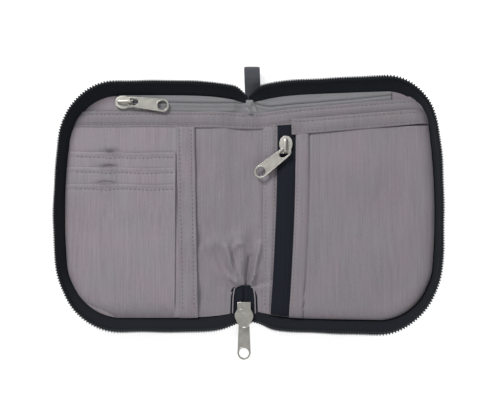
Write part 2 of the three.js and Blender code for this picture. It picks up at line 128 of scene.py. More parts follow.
def reach(side, v, inset=0.0):
    """How far across the lining's edge is at a height v up the cover."""
    radius = corner_radius(side, v)
    over = np.clip(np.abs(v) - (HALF - radius), 0, radius - inset)
    return REACH + bow(v) - radius + np.sqrt(np.maximum((radius - inset) ** 2 - over**2, 0))


def dip(s):
    """How much the top and bottom edges draw in towards the spine."""
    return 4.6 * np.exp(-((np.abs(s) / 13.5) ** 1.3))


def edge_distance(s, v):
    """Distance of a point from the lining's edge."""
    across, up = np.abs(s) - bow(v), np.abs(v) + dip(s) * (np.abs(v) / HALF) ** 6
    radius = np.where(np.asarray(s) < 0, corner_radius(-1, v), corner_radius(1, v))
    dx, dy = across - (REACH - radius), up - (HALF - radius)
    corner = radius - np.hypot(np.maximum(dx, 0), np.maximum(dy, 0))
    return np.where((dx > 0) & (dy > 0), corner, np.minimum(REACH - across, HALF - up))


FAR = REACH + 5.0  # a panel that runs to here is cut to the cover's edge


def ripple(s, v, seed, size, amount):
    """Smooth uneven ground: a few plane waves of about that size."""
    rng = np.random.default_rng(seed)
    total = np.zeros(np.broadcast(s, v).shape)
    for _ in range(7):
        angle = rng.uniform(0, 2 * np.pi)
        wave = size * rng.uniform(0.6, 1.7)
        phase = rng.uniform(0, 2 * np.pi)
        total = total + np.sin((s * np.cos(angle) + v * np.sin(angle)) * 2 * np.pi / wave + phase)
    return amount * total / 7**0.5


def layer_height(level, s, v, rank=0):
    """Height of a cloth layer: flat inside, drawn down to the seam at the lining's edge."""
    t = np.clip(edge_distance(s, v) / 7.0, 0, 1)
    ease = np.sqrt(np.maximum(0, 1 - (1 - t) ** 2))
    seam = SEAM + 0.05 * rank
    undulation = ripple(s, v, 3, 52, 0.32) * ease * smooth((np.abs(s) - 6) / 16)
    return seam + (level - seam) * ease + undulation


def spine_level(level, low, s, span=9.0):
    """A layer that lies at one level on the covers and at another on the spine."""
    return low + (level - low) * smooth((np.abs(s) - 7) / span)


# ---------- Meshes ----------
def new_mesh(name, points, faces, cloth=None):
    """A mesh from points in millimetres. cloth holds each point's place on the flat cloth, for the weave."""
    mesh = bpy.data.meshes.new(name)
    points = np.asarray(points, float)
    mesh.from_pydata((points * MM).tolist(), [], faces)
    attribute = mesh.attributes.new("cloth", "FLOAT_VECTOR", "POINT")
    flat = points if cloth is None else np.asarray(cloth, float)
    attribute.data.foreach_set("vector", np.ascontiguousarray(flat, np.float32).ravel())
    mesh.validate()
    mesh.update()
    for polygon in mesh.polygons:
        polygon.use_smooth = True
    obj = bpy.data.objects.new(name, mesh)
    bpy.context.scene.collection.objects.link(obj)
    return obj


def grid_faces(rows, columns, close=False):
    faces = []
    for i in range(rows - 1):
        for j in range(columns if close else columns - 1):
            k = (j + 1) % columns
            faces.append((i * columns + j, i * columns + k, (i + 1) * columns + k, (i + 1) * columns + j))
    return faces


def tube_faces(rings, ring):
    """The faces of a closed tube: that many rings of points, with a face on each end."""
    last = (rings - 1) * ring
    ends = [tuple(range(ring)), tuple(last + k for k in reversed(range(ring)))]
    return grid_faces(rings, ring, close=True) + ends


def circle(count):
    angles = [2 * math.pi * k / count for k in range(count)]
    return [(math.cos(a), math.sin(a)) for a in angles]


def thick_sheet(name, s, v, h, thickness=CLOTH, roll=0.0):
    """A closed sheet through a grid of flat points, with its underside at h. roll rounds its rim."""
    rows, columns = s.shape
    thickness = np.broadcast_to(thickness, s.shape)
    top = place(s, v, h + thickness)
    bottom = place(s, v, h)
    count = rows * columns
    rim = list(range(columns)) + [i * columns + columns - 1 for i in range(1, rows)]
    rim += [(rows - 1) * columns + j for j in range(columns - 2, -1, -1)]
    rim += [i * columns for i in range(rows - 2, 0, -1)]
    faces = grid_faces(rows, columns)
    flipped = [tuple(count + k for k in reversed(face)) for face in faces]
    points = np.concatenate([top.reshape(-1, 3), bottom.reshape(-1, 3)])
    flat = np.stack([s, v, h], -1).reshape(-1, 3)
    cloth = np.concatenate([flat, flat])
    if roll > 0:
        centre_s, centre_v = s.mean(), v.mean()
        ring_s, ring_v = s.ravel()[rim], v.ravel()[rim]
        nxt = np.roll(np.arange(len(rim)), -1)
        prv = np.roll(np.arange(len(rim)), 1)
        ts, tv = ring_s[nxt] - ring_s[prv], ring_v[nxt] - ring_v[prv]
        length = np.maximum(np.hypot(ts, tv), 1e-6)
        ns, nv = tv / length, -ts / length
        side = np.sign(np.sum(ns * (ring_s - centre_s) + nv * (ring_v - centre_v)))
        out = place(ring_s + side * ns * roll, ring_v + side * nv * roll, (h + thickness / 2).ravel()[rim])
        base = len(points)
        points = np.concatenate([points, out])
        cloth = np.concatenate([cloth, flat[rim]])
        wall = []
        for k, a in enumerate(rim):
            n = (k + 1) % len(rim)
            b = rim[n]
            wall.append((a, base + k, base + n, b))
            wall.append((base + k, count + a, count + b, base + n))
    else:
        following = rim[1:] + rim[:1]
        wall = [(a, count + a, count + b, b) for a, b in zip(rim, following)]
    every = faces + flipped + wall
    obj = new_mesh(name, points, every, cloth)
    fix_normals(obj)
    return sharpen(obj, 50)


def fix_normals(obj):
    bm = bmesh.new()
    bm.from_mesh(obj.data)
    bmesh.ops.recalc_face_normals(bm, faces=bm.faces)
    bm.to_mesh(obj.data)
    bm.free()
    obj.data.update()


def sharpen(obj, degrees=40):
    for polygon in obj.data.polygons:
        polygon.use_smooth = True
    obj.data.set_sharp_from_angle(angle=math.radians(degrees))
    return obj


def row_levels(side, low, high, step):
    """Heights up the cover for a panel's rows, closer together where the corners turn over."""
    levels = list(np.linspace(low, high, max(3, int((high - low) / step) + 1)))
    for sign, radius in ((1, CORNERS[side][0]), (-1, CORNERS[side][1])):
        for angle in np.linspace(math.radians(52), math.radians(89), 11):
            level = sign * (HALF - 0.3 - radius * (1 - math.sin(angle)))
            if low + 0.05 < level < high - 0.05:
                levels.append(level)
    levels = sorted(levels)
    kept = [levels[0]]
    for level in levels[1:-1]:
        if level - kept[-1] > 0.04 and levels[-1] - level > 0.02:
            kept.append(level)
    return np.array(kept + [levels[-1]])


def panel_grid(side, s_from, s_to, v_from, v_to, step=2.0, edge_inset=0.15, fixed=()):
    """Flat points of a cloth panel. s_from, s_to, v_from and v_to are numbers or functions of v or s.
    A panel that reaches a cover's edge is cut to its outline."""
    def at(value, x):
        return value(x) if callable(value) else np.full(np.shape(x), float(value))
    out = np.full(1, side * 60.0)
    low, high = float(at(v_from, out)[0]), float(at(v_to, out)[0])
    v0 = row_levels(side, low, high, step)[:, None]
    limit = reach(side, v0, edge_inset) - edge_inset
    near, far = at(s_from, v0), np.minimum(at(s_to, v0), limit)
    columns = max(3, int(np.max(far - near) / step) + 1)
    a = np.linspace(0, 1, columns)[None, :]
    across = near + (far - near) * a
    if len(fixed):
        # columns at set places near the spine, so that the arch's sides run straight, then the rest
        columns = int(np.max(far - fixed[-1]) / step) + 1
        a = np.linspace(0, 1, columns)[None, 1:]
        first = np.asarray(fixed, float)[None, :] + 0 * v0
        across = np.concatenate([first, fixed[-1] + (far - fixed[-1]) * a], 1)
    s = side * across
    v = at(v_from, s) + (at(v_to, s) - at(v_from, s)) * (v0 - low) / (high - low)
    return s, v


def bottom_edge(s):
    return -(HALF - 0.3) + dip(s)


def top_edge(s):
    return (HALF - 0.3) - dip(s)


# ---------- Materials ----------
class Surface:
    """A Principled material under construction."""

    def __init__(self, name):
        self.material = bpy.data.materials.new(name)
        self.material.use_nodes = True
        self.tree = self.material.node_tree
        self.shader = self.tree.nodes["Principled BSDF"]

    def node(self, kind, **values):
        made = self.tree.nodes.new(kind)
        for key, value in values.items():
            if hasattr(made, key):
                setattr(made, key, value)
            else:
                made.inputs[key].default_value = value
        return made

    def link(self, a, b):
        self.tree.links.new(a, b)

    def cloth_coordinates(self, stretch=(1, 1, 1), turn=0.0):
        attribute = self.node("ShaderNodeAttribute", attribute_name="cloth")
        mapping = self.node("ShaderNodeMapping")
        mapping.inputs["Scale"].default_value = stretch
        mapping.inputs["Rotation"].default_value = (0, 0, turn)
        self.link(attribute.outputs["Vector"], mapping.inputs["Vector"])
        return mapping.outputs["Vector"]

    def wave(self, coordinates, scale, direction="X", distortion=0.0, profile="SIN"):
        made = self.node("ShaderNodeTexWave", wave_type="BANDS", bands_direction=direction,
                         wave_profile=profile)
        made.inputs["Scale"].default_value = scale
        made.inputs["Distortion"].default_value = distortion
        made.inputs["Detail Scale"].default_value = 1.0
        self.link(coordinates, made.inputs["Vector"])
        return made.outputs["Fac"]

    def noise(self, coordinates, scale, detail=3.0, roughness=0.5):
        made = self.node("ShaderNodeTexNoise")
        made.inputs["Scale"].default_value = scale
        made.inputs["Detail"].default_value = detail
        made.inputs["Roughness"].default_value = roughness
        self.link(coordinates, made.inputs["Vector"])
        return made.outputs["Fac"]

    def math(self, operation, a, b):
        made = self.node("ShaderNodeMath", operation=operation)
        for index, value in enumerate((a, b)):
            if isinstance(value, (int, float)):
                made.inputs[index].default_value = value
            else:
                self.link(value, made.inputs[index])
        return made.outputs[0]

    def ramp(self, factor, stops):
        made = self.node("ShaderNodeValToRGB")
        elements = made.color_ramp.elements
        while len(elements) < len(stops):
            elements.new(0.5)
        for element, (position, colour) in zip(elements, stops):
            element.position = position
            element.color = (*colour, 1)
        self.link(factor, made.inputs["Fac"])
        return made.outputs["Color"]

    def mix(self, factor, a, b, blend="MIX"):
        made = self.node("ShaderNodeMix", data_type="RGBA", blend_type=blend)
        for index, value in ((0, factor), (6, a), (7, b)):
            if isinstance(value, (int, float)):
                made.inputs[index].default_value = value
            elif isinstance(value, tuple):
                made.inputs[index].default_value = (*value, 1)
            else:
                self.link(value, made.inputs[index])
        return made.outputs[2]

    def bump(self, height, strength, distance):
        made = self.node("ShaderNodeBump")
        made.inputs["Strength"].default_value = strength
        made.inputs["Distance"].default_value = distance * MM
        self.link(height, made.inputs["Height"])
        self.link(made.outputs["Normal"], self.shader.inputs["Normal"])

    def finish(self, colour, roughness, metallic=0.0, sheen=0.0, sheen_roughness=0.5, specular=0.5):
        shader = self.shader
        self.link(colour, shader.inputs["Base Color"])
        if isinstance(roughness, (int, float)):
            shader.inputs["Roughness"].default_value = roughness
        else:
            self.link(roughness, shader.inputs["Roughness"])
        shader.inputs["Metallic"].default_value = metallic
        shader.inputs["Sheen Weight"].default_value = sheen
        shader.inputs["Sheen Roughness"].default_value = sheen_roughness
        shader.inputs["Specular IOR Level"].default_value = specular
        return self.material


def scaled(colour, factor):
    return tuple(min(1.0, c * factor) for c in colour)


def between(material, factor, low, high):
    """A roughness that varies between two values."""
    made = material.node("ShaderNodeMapRange")
    made.inputs["To Min"].default_value = low
    made.inputs["To Max"].default_value = high
    material.link(factor, made.inputs["Value"])
    return made.outputs["Result"]


def lining_material(name, base, turn=0.0):
    """Fine ribbed taffeta: uneven ribs along the cloth, a crossing weave and soft streaks."""
    m = Surface(name)
    flat = m.cloth_coordinates(turn=turn)
    ribs = m.wave(flat, 0.36, "X", 0.7)
    weave = m.wave(flat, 0.62, "Y", 0.4)
    streaks = m.noise(m.cloth_coordinates((0.9, 0.035, 1), turn), 1.0, 4.0, 0.65)
    patches = m.noise(m.cloth_coordinates((0.05, 0.04, 1), turn), 1.0, 2.0, 0.5)
    fuzz = m.noise(m.cloth_coordinates((2.2, 2.2, 1), turn), 1.0, 3.0, 0.6)
    colour = m.ramp(streaks, [(0.28, scaled(base, 0.80)), (0.5, base), (0.74, scaled(base, 1.19))])
    rosy = (base[0] * 1.07, base[1] * 0.96, base[2])
    cool = (base[0] * 0.94, base[1], base[2] * 1.02)
    tint = m.ramp(patches, [(0.35, rosy), (0.65, cool)])
    colour = m.mix(0.35, colour, tint)
    thread = m.ramp(ribs, [(0.0, (0.93, 0.93, 0.93)), (0.55, (1.0, 1.0, 1.0)), (1.0, (1.05, 1.05, 1.05))])
    colour = m.mix(1.0, colour, thread, "MULTIPLY")
    grain = m.ramp(fuzz, [(0.3, (0.86, 0.86, 0.86)), (0.7, (1.12, 1.12, 1.12))])
    colour = m.mix(1.0, colour, grain, "MULTIPLY")
    height = m.math("ADD", m.math("MULTIPLY", ribs, 0.6), m.math("MULTIPLY", weave, 0.4))
    m.bump(height, 0.35, 0.12)
    return m.finish(colour, between(m, streaks, 0.5, 0.7), sheen=0.25, sheen_roughness=0.4, specular=0.35)


def tape_material(name, base, along="X", scale=0.5, contrast=0.25):
    """Woven zip tape: close twill lines along its length and a finer cross weave."""
    m = Surface(name)
    flat = m.cloth_coordinates()
    lines = m.wave(flat, scale, along, 0.15)
    cross = m.wave(flat, scale * 1.7, "Y" if along == "X" else "X", 0.2)
    fibres = m.noise(m.cloth_coordinates((1.6, 1.6, 1)), 1.0, 4.0, 0.6)
    colour = m.ramp(lines, [(0.0, scaled(base, 1 - contrast)), (0.6, base),
                            (1.0, scaled(base, 1 + contrast))])
    worn = m.ramp(fibres, [(0.3, (0.85, 0.85, 0.87)), (0.75, (1.15, 1.15, 1.13))])
    colour = m.mix(1.0, colour, worn, "MULTIPLY")
    m.bump(m.math("ADD", m.math("MULTIPLY", lines, 0.6), m.math("MULTIPLY", cross, 0.4)), 0.5, 0.12)
    return m.finish(colour, between(m, fibres, 0.8, 0.97), sheen=0.04, sheen_roughness=0.5, specular=0.12)


def coil_material(name, base):
    """Moulded nylon monofilament: a low gloss with slight scuffing."""
    m = Surface(name)
    scuffs = m.noise(m.cloth_coordinates((1.1, 1.1, 1.1)), 1.0, 4.0, 0.6)
    colour = m.ramp(scuffs, [(0.3, scaled(base, 0.85)), (0.7, scaled(base, 1.2))])
    m.bump(scuffs, 0.15, 0.05)
    return m.finish(colour, between(m, scuffs, 0.5, 0.7), specular=0.25)


def thread_material(name, base):
    m = Surface(name)
    twist = m.wave(m.cloth_coordinates(turn=0.7), 1.4, "X", 0.0)
    colour = m.ramp(twist, [(0.0, scaled(base, 0.8)), (1.0, scaled(base, 1.1))])
    m.bump(twist, 0.4, 0.08)
    return m.finish(colour, between(m, twist, 0.55, 0.75), sheen=0.2, specular=0.3)


def metal_material(name, base):
    """Satin nickel plating over a die-cast body: faint brushing, soft patches and rubbed spots."""
    m = Surface(name)
    coordinates = m.cloth_coordinates((1, 1, 1))
    brushing = m.noise(m.cloth_coordinates((6.0, 0.5, 3.0)), 1.0, 3.0, 0.6)
    patches = m.noise(coordinates, 0.35, 3.0, 0.55)
    colour = m.ramp(patches, [(0.3, scaled(base, 0.88)), (0.6, base), (0.8, scaled(base, 1.1))])
    rough = m.math("ADD", m.math("MULTIPLY", brushing, 0.16), m.math("MULTIPLY", patches, 0.18))
    m.bump(brushing, 0.12, 0.04)
    return m.finish(colour, m.math("ADD", rough, 0.22), metallic=0.92)


def webbing_material(name, base):
    """Ribbed herringbone webbing."""
    m = Surface(name)
    ribs = m.wave(m.cloth_coordinates((1, 1, 1), 0.55), 0.42, "X", 0.1)
    rows = m.wave(m.cloth_coordinates(), 0.55, "Y", 0.1)
    fibres = m.noise(m.cloth_coordinates((1.5, 1.5, 1.5)), 1.0, 4.0, 0.6)
    height = m.math("ADD", m.math("MULTIPLY", ribs, 0.5), m.math("MULTIPLY", rows, 0.5))
    colour = m.ramp(height, [(0.15, scaled(base, 0.72)), (0.55, base), (0.9, scaled(base, 1.22))])
    worn = m.ramp(fibres, [(0.3, (0.9, 0.9, 0.9)), (0.7, (1.12, 1.12, 1.12))])
    colour = m.mix(1.0, colour, worn, "MULTIPLY")
    m.bump(height, 0.7, 0.25)
    return m.finish(colour, between(m, fibres, 0.7, 0.92), sheen=0.2, specular=0.3)


def shell_material(name, base):
    """Coated basket-weave polyester."""
    m = Surface(name)
    flat = m.cloth_coordinates()
    warp = m.wave(flat, 0.34, "X", 0.05)
    weft = m.wave(flat, 0.34, "Y", 0.05)
    weave = m.math("MULTIPLY", warp, weft)
    dust = m.noise(m.cloth_coordinates((0.12, 0.12, 0.12)), 1.0, 5.0, 0.6)
    colour = m.ramp(weave, [(0.0, scaled(base, 0.7)), (0.5, base), (1.0, scaled(base, 1.35))])
    worn = m.ramp(dust, [(0.35, (0.85, 0.85, 0.86)), (0.7, (1.2, 1.19, 1.17))])
    colour = m.mix(1.0, colour, worn, "MULTIPLY")
    m.bump(weave, 0.6, 0.2)
    return m.finish(colour, between(m, dust, 0.5, 0.72), sheen=0.1, specular=0.4)


def foam_material(name, base):
    """Laminated open-cell foam, its cells showing as fine pits."""
    m = Surface(name)
    cells = m.noise(m.cloth_coordinates((1.0, 1.0, 1.0)), 1.6, 3.0, 0.55)
    colour = m.ramp(cells, [(0.3, scaled(base, 0.8)), (0.55, base), (0.8, scaled(base, 1.15))])
    m.bump(cells, 0.5, 0.2)
    return m.finish(colour, between(m, cells, 0.75, 0.92), sheen=0.05, specular=0.25)


LINING = (0.181, 0.163, 0.179)
MATERIAL = {
    "lining": lining_material("lining_taffeta", LINING),
    "lining_right": lining_material("lining_taffeta_right", scaled(LINING, 0.84)),
    "lining_centre": lining_material("lining_taffeta_centre", scaled(LINING, 0.87)),
    "strip": lining_material("lining_strip", scaled(LINING, 0.88), turn=0.02),
    "band": lining_material("lining_band", scaled(LINING, 0.76), turn=math.pi / 2),
    "black_tape": tape_material("black_zip_tape", (0.0085, 0.0097, 0.0135)),
    "black_strip": tape_material("black_zip_strip", (0.0075, 0.0088, 0.0140), scale=0.42),
    "grey_tape": tape_material("grey_zip_tape", (0.160, 0.160, 0.168), "Y", 0.6, 0.12),
    # a lighter copy of the grey tape for the bunch over the spine: painted light on the raised tape
    "grey_gather": tape_material("grey_zip_tape_painted_light", (0.200, 0.200, 0.206), "Y", 0.6, 0.16),
    "black_coil": coil_material("black_nylon_coil", (0.0075, 0.0095, 0.0125)),
    "grey_coil": coil_material("grey_nylon_coil", (0.235, 0.235, 0.240)),
    # the thread has the lining's own colour; drawn at half that brightness, it is painted shade standing in
    # for the dark needle holes along each stitch row
    "thread": thread_material("lining_thread_painted_shade", scaled(LINING, 0.50)),
    "metal": metal_material("satin_nickel", (0.385, 0.375, 0.345)),
    "webbing": webbing_material("webbing", (0.042, 0.045, 0.053)),
    "shell": shell_material("outer_polyester", (0.022, 0.024, 0.030)),
    "foam": foam_material("padding_foam", (0.323, 0.323, 0.323)),
    "piping": lining_material("piping", scaled(LINING, 1.05), turn=0.8),
}
# Each material's slot: lining_fabric where nothing else is named.
SLOT = dict.fromkeys(MATERIAL, "lining_fabric")
SLOT.update(black_tape="black_tape", black_strip="black_tape", grey_tape="grey_tape", grey_gather="grey_tape",
            black_coil="black_coil", grey_coil="grey_coil", metal="zip_metal", webbing="webbing",
            shell="outer_fabric", foam="padding")


def dress(obj, material):
    obj.data.materials.clear()
    obj.data.materials.append(MATERIAL[material])
    return obj


def cover_body(side):
    return f"{side_name(side)}_cover"


def attach(obj, material, side=0, blended=False, body=None, replaces=()):
    """Gives a piece its material, and a body unless it is blended. A blended piece, one that runs over a
    cover's fold, keeps no body: its transform is baked into its mesh.
    """
    dress(obj, material)
    if blended:
        start = place(side * (FOLD + FOLD_BLEND), 0, FOLD_HEIGHT) * MM
        end = place(side * (FOLD - FOLD_BLEND), 0, FOLD_HEIGHT) * MM
        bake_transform(obj)
    else:
        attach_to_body(obj, body or (cover_body(side) if side else "spine"))
    if replaces:
        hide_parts(*replaces)
    return obj


SEWN_ON = {}


def declare_sheet(obj, onto=None):
    """Lists a narrow hem or tape under the piece it is sewn onto, in SEWN_ON; nothing is noted for any other
    piece.
    """
    if onto:
        SEWN_ON.setdefault(onto, []).append(obj)


def lay(name, s, v, h, material, side, blended, replaces, thickness=CLOTH, roll=0.0, onto=None):
    """One piece of cloth: its mesh with its flat grid, its material, its body unless it is blended, the CAD
    nodes it stands for and, for a hem or tape, the piece it is sewn onto.
    """
    obj = thick_sheet(name, s, v, h, thickness, roll)
    attach(obj, material, side, blended, replaces=replaces)
    declare_sheet(obj, onto)


def panel_nodes(side, part, spine_part=None):
    """The CAD nodes of a panel that runs onto the spine: its cover's, and on the left the spine's too."""
    nodes = [f"{side_name(side)}_{part}"]
    if side < 0:
        nodes.append(f"spine_{spine_part or part}")
    return nodes


# ---------- Stitches ----------
STITCHES = {}


def stitch_row(key, path, height, pitch=STITCH_PITCH, length=1.35, width=0.25, seed=0):
    """Adds one row of stitches along a flat path to the piece called key. height(s, v) is the cloth's top."""
    rng = np.random.default_rng(seed + len(STITCHES.get(key, [])))
    path = np.asarray(path, float)
    steps = np.hypot(*np.diff(path, axis=0).T)
    along = np.concatenate([[0], np.cumsum(steps)])
    count = int(along[-1] / pitch)
    ring = circle(6)
    for k in range(count):
        middle = (k + 0.5) * pitch + rng.uniform(-0.12, 0.12)
        half = length / 2 * rng.uniform(0.9, 1.08)
        verts, flats = [], []
        for t, thick, drop in ((-1, 0.25, -0.14), (-0.55, 0.9, 0.02), (0.55, 0.9, 0.02), (1, 0.25, -0.14)):
            at = middle + t * half
            s0, v0 = np.interp(at, along, path[:, 0]), np.interp(at, along, path[:, 1])
            s1, v1 = np.interp(at + 0.3, along, path[:, 0]), np.interp(at + 0.3, along, path[:, 1])
            ds, dv = s1 - s0, v1 - v0
            size = math.hypot(ds, dv) or 1.0
            ns, nv = -dv / size, ds / size
            h0 = float(height(np.array(s0), np.array(v0)))
            for c, w in ring:
                verts.append(place(s0 + ns * c * width * thick, v0 + nv * c * width * thick,
                                   h0 + drop + 0.07 + w * width * 0.6 * thick))
                flats.append((s0, v0, h0))
        STITCHES.setdefault(key, []).append((verts, flats))


def seam(key, path_s, path_v, height, thickness, seed):
    """A row of stitches on top of a cloth whose underside is at height(s, v)."""
    stitch_row(key, np.stack([path_s, path_v], 1), lambda a, b: height(a, b) + thickness, seed=seed)


# stitches are drawn in the darkened thread, painted shade for their needle holes
def finish_stitches(key, name, side=0, blended=False, material="thread", body=None):
    points, flats, faces = [], [], []
    for verts, flat in STITCHES[key]:
        base = len(points)
        points += [tuple(p) for p in verts]
        flats += flat
        for i in range(3):
            for j in range(6):
                k = (j + 1) % 6
                faces.append((base + i * 6 + j, base + i * 6 + k, base + i * 6 + 6 + k, base + i * 6 + 6 + j))
        faces.append(tuple(base + j for j in reversed(range(6))))
        faces.append(tuple(base + 18 + j for j in range(6)))
    obj = new_mesh(name, points, faces, flats)
    fix_normals(obj)
    return attach(obj, material, side, blended, body)


# ---------- Outer shell: coated fabric over foam, its rim rolled up to the zip ----------
def outer_shell(side):
    """The cover's dished outside, from the fold out past the lining's edge."""
    half = HALF + 0.9
    v = row_levels(side, -HALF + 0.3, HALF - 0.3, 1.5)[:, None] * half / (HALF - 0.3)
    a = np.linspace(0, 1, 60)[None, :]
    far = reach(side, np.clip(v * HALF / half, -HALF, HALF)) + 0.9
    s = side * far * (1 - (1 - a) ** 1.15)
    v = v * np.ones_like(s)
    v = v * (half - dip(s)) / half
    gap = edge_distance(s, v) + 0.9
    rise = 2.7 * (1 - np.sqrt(np.clip(1 - (1 - np.clip(gap / 5.0, 0, 1)) ** 2, 0, 1)))
    dent = ripple(s, v, 11, 34, 0.12) * smooth(gap / 8)
    h = 0.1 + rise + np.maximum(dent, -0.05)
    name = side_name(side)
    nodes = panel_nodes(side, "cover_shell", "shell")
    lay(f"{name}_outer_cloth", s, v, h, "shell", side, True, nodes, thickness=0.75, roll=0.3)


def foam(side):
    """The padding between the shell and the lining, softly domed and edge-sewn."""
    s, v = panel_grid(side, 3, FAR, bottom_edge, top_edge, 3.0, 1.2)
    t = smooth(edge_distance(s, v) / 9.0)
    h = 1.05 + 0 * s
    top = 1.9 + 0.75 * t + ripple(s, v, 21, 40, 0.12) * t
    name = side_name(side)
    obj = thick_sheet(f"{name}_foam", s, v, h, top - h, 0.4)
    nodes = panel_nodes(side, "cover_padding", "padding")
    attach(obj, "foam", side, True, replaces=nodes)


# ---------- Gathers of the cloth above the arch, and soft creases ----------
def gathers(s, v):
    """Height added to the spine's cloth where it is gathered round the head of the arch."""
    ds, dv = s - ARCH_S, v - (ARCH_TOP - 1.0)
    far = np.hypot(ds, dv)
    angle = np.arctan2(ds, np.maximum(dv, 0.01))
    fade = bell(far, 15.0) * smooth(far / 5.0) * smooth((dv + 4) / 6)
    pleats = 0.85 * np.cos(angle * 7.0 + 0.6) * fade + 0.35 * np.cos(angle * 15 + 2.0) * fade

    def ridge(s0, v0, s1, v1, width, height):
        ax, ay = s1 - s0, v1 - v0
        t = np.clip(((s - s0) * ax + (v - v0) * ay) / (ax * ax + ay * ay), 0, 1)
        near = np.hypot(s - s0 - t * ax, v - v0 - t * ay)
        return height * bell(near, width) * (0.35 + 0.65 * np.sin(np.pi * (0.15 + 0.7 * t)))
    folds = ridge(-6, -45, -12, -24, 2.1, 3.0) + ridge(2.0, -45, 7.0, -22, 1.7, 2.5)
    folds = folds + ridge(-3.4, -43, -3.6, -22, 2.4, 1.9) - ridge(-0.6, -46, 1.4, -29, 1.15, 2.3)
    folds = folds + ridge(-34, -27, -3, -17, 4.0, 0.9) + ridge(6.5, 12, 7, -10, 2.2, 0.9)
    folds = folds + ridge(-17, -40, -24, -16, 3.0, 0.6) - ridge(-9.5, -47, -19, -25, 1.8, 0.9)
    arc = np.hypot(s + 3.2, (v + 27.0) * 0.9)
    folds = folds + 1.15 * bell(arc - 5.2, 1.35) * smooth((v + 29) / 5)
    slack = bell(v + 20, 7.0) + bell(v + 50, 6.0) + 0.5 * bell(v - 22, 9.0)
    folds = folds - 0.9 * bell(s + 27.6, 1.7) * slack
    folds = folds + ridge(-3.5, -21, -3.0, -15, 3.6, 0.6) - ridge(-7.5, -44, -8.5, -26, 1.2, 0.8)
    edge = smooth((edge_distance(s, v) - 1.0) / 8)
    return pleats + folds * edge


def spine_sag(s, v):
    """The cloth over the spine lies a little slack between the folds."""
    return -0.25 * bell(s, 9.0) + 0.28 * bell(np.abs(s) - 13, 3.5)


def wide_height(s, v):
    """Top side of the wide pocket's front, the lining seen across the middle of the holder."""
    base = layer_height(spine_level(LEVEL["wide"], 3.9, s), s, v, 3)
    notch = smooth(1 - np.abs(s - ARCH_S) / 12.0) * smooth(1 - (v + 47) / 6.0)
    uneven = ripple(s, v, 31, 16, 0.10) * smooth(edge_distance(s, v) / 8)
    return base + gathers(s, v) + spine_sag(s, v) + 0.1 * notch + uneven


def above_arch(s, v, margin):
    """Draws the rows of a panel that would cross the arch up to its edge."""
    side, over = np.abs(s - ARCH_S), ARCH_HALF + margin
    head = ARCH_TOP + margin - over + np.sqrt(np.maximum(over**2 - np.minimum(side, over) ** 2, 0))
    row = np.arange(s.shape[0])[:, None] * 0.004
    return np.where(side <= over + 0.01, np.maximum(v, head + row), v)


def arch_columns(side, margin):
    """Columns beside the spine, with a close pair at each side of the arch."""
    over = ARCH_HALF + margin
    edge = side * (ARCH_S + side * over)
    inner = [edge - over * (1 - math.cos(a)) for a in np.linspace(math.pi / 2, 0, 9)]
    inner = [x for x in inner if x > 0.3]
    start = list(np.arange(0, inner[0] - 0.3, 0.8)) or [0.0]
    return start + inner[:-1] + [edge, edge + 0.26] + list(np.arange(edge + 1.0, 17.5, 0.9))


def header_low(s):
    return HEADER[0] + np.maximum(0, s) * HEADER_SLANT - 1.2 * bell(s - 6, 16.0)


def header_high(s):
    return header_low(s) + HEADER[1] - HEADER[0]


def zip_line(s):
    """The top pocket's zip dips past the spine and climbs across the right cover."""
    right = np.maximum(0, s)
    return POCKET_ZIP + 0.25 * np.sin(s / 13.0) - 2.4 * smooth(right / 14) + 0.065 * np.maximum(0, right - 14)


def under_zip(s, v, h):
    """The cloth below the pocket zip's run on the left cover, pressed low enough for its slider to pass."""
    run = smooth((-5 - s) / 4) * smooth((6.6 - np.abs(v - zip_line(s))) / 1.6)
    return h + (np.minimum(h, SLIDER_BED) - h) * run


def base_lining(side):
    """The innermost lining, seen along the top edge beside the pocket zip."""
    name = side_name(side)
    s, v = panel_grid(side, 0, FAR, bottom_edge, top_edge, 2.2, fixed=arch_columns(side, 0.3))
    v = above_arch(s, v, 0.3)
    h = under_zip(s, v, layer_height(spine_level(LEVEL["lining"], 2.3, s), s, v, 0))
    nodes = panel_nodes(side, "lining")
    lay(f"{name}_base_lining", s, v, h, "lining" if side < 0 else "lining_right", side, True, nodes)


def zip_pocket_front(side):
    """The zipped pocket's front, from the pocket zip's tape down behind the bill pocket."""
    name = side_name(side)

    def top(x):
        under_tape = np.where(x < 0, zip_line(x) - 4.1, HALF)
        return np.minimum(header_high(x) + 1.5, under_tape)

    s, v = panel_grid(side, 0, FAR, lambda x: header_low(x) - 6, top, 1.6)
    h = layer_height(spine_level(LEVEL["zip_pocket"], 3.4, s), s, v, 1)
    lay(f"{name}_zip_pocket_cloth", s, v, h, "strip", side, True, [f"{name}_zip_pocket_front"])


def wide_pocket(side):
    """The bill pocket's front: the broad lining across both covers and the spine."""
    name = side_name(side)
    s, v = panel_grid(side, 0, 62 if side < 0 else FAR, bottom_edge, lambda x: header_low(x) + 2.0, 1.1,
                      fixed=arch_columns(side, 0.6))
    v = above_arch(s, v, 0.6)
    h = wide_height(s, v)
    nodes = panel_nodes(side, "wide_pocket_front")
    lay(f"{name}_bill_pocket_cloth", s, v, h, "lining_centre", side, True, nodes)


def header_height(s, v):
    mid = (v - header_low(s)) / (HEADER[1] - HEADER[0])
    puff = 0.28 * hump(mid) + ripple(s, v, 41, 14, 0.08)
    tuck = -0.35 * bell(mid - 0.83, 0.07) - 0.35 * bell(mid - 0.17, 0.07)
    base = layer_height(spine_level(LEVEL["band"], 4.3, s), s, v, 4)
    return base + puff + tuck + 0.25 * bell(s, 5.0)


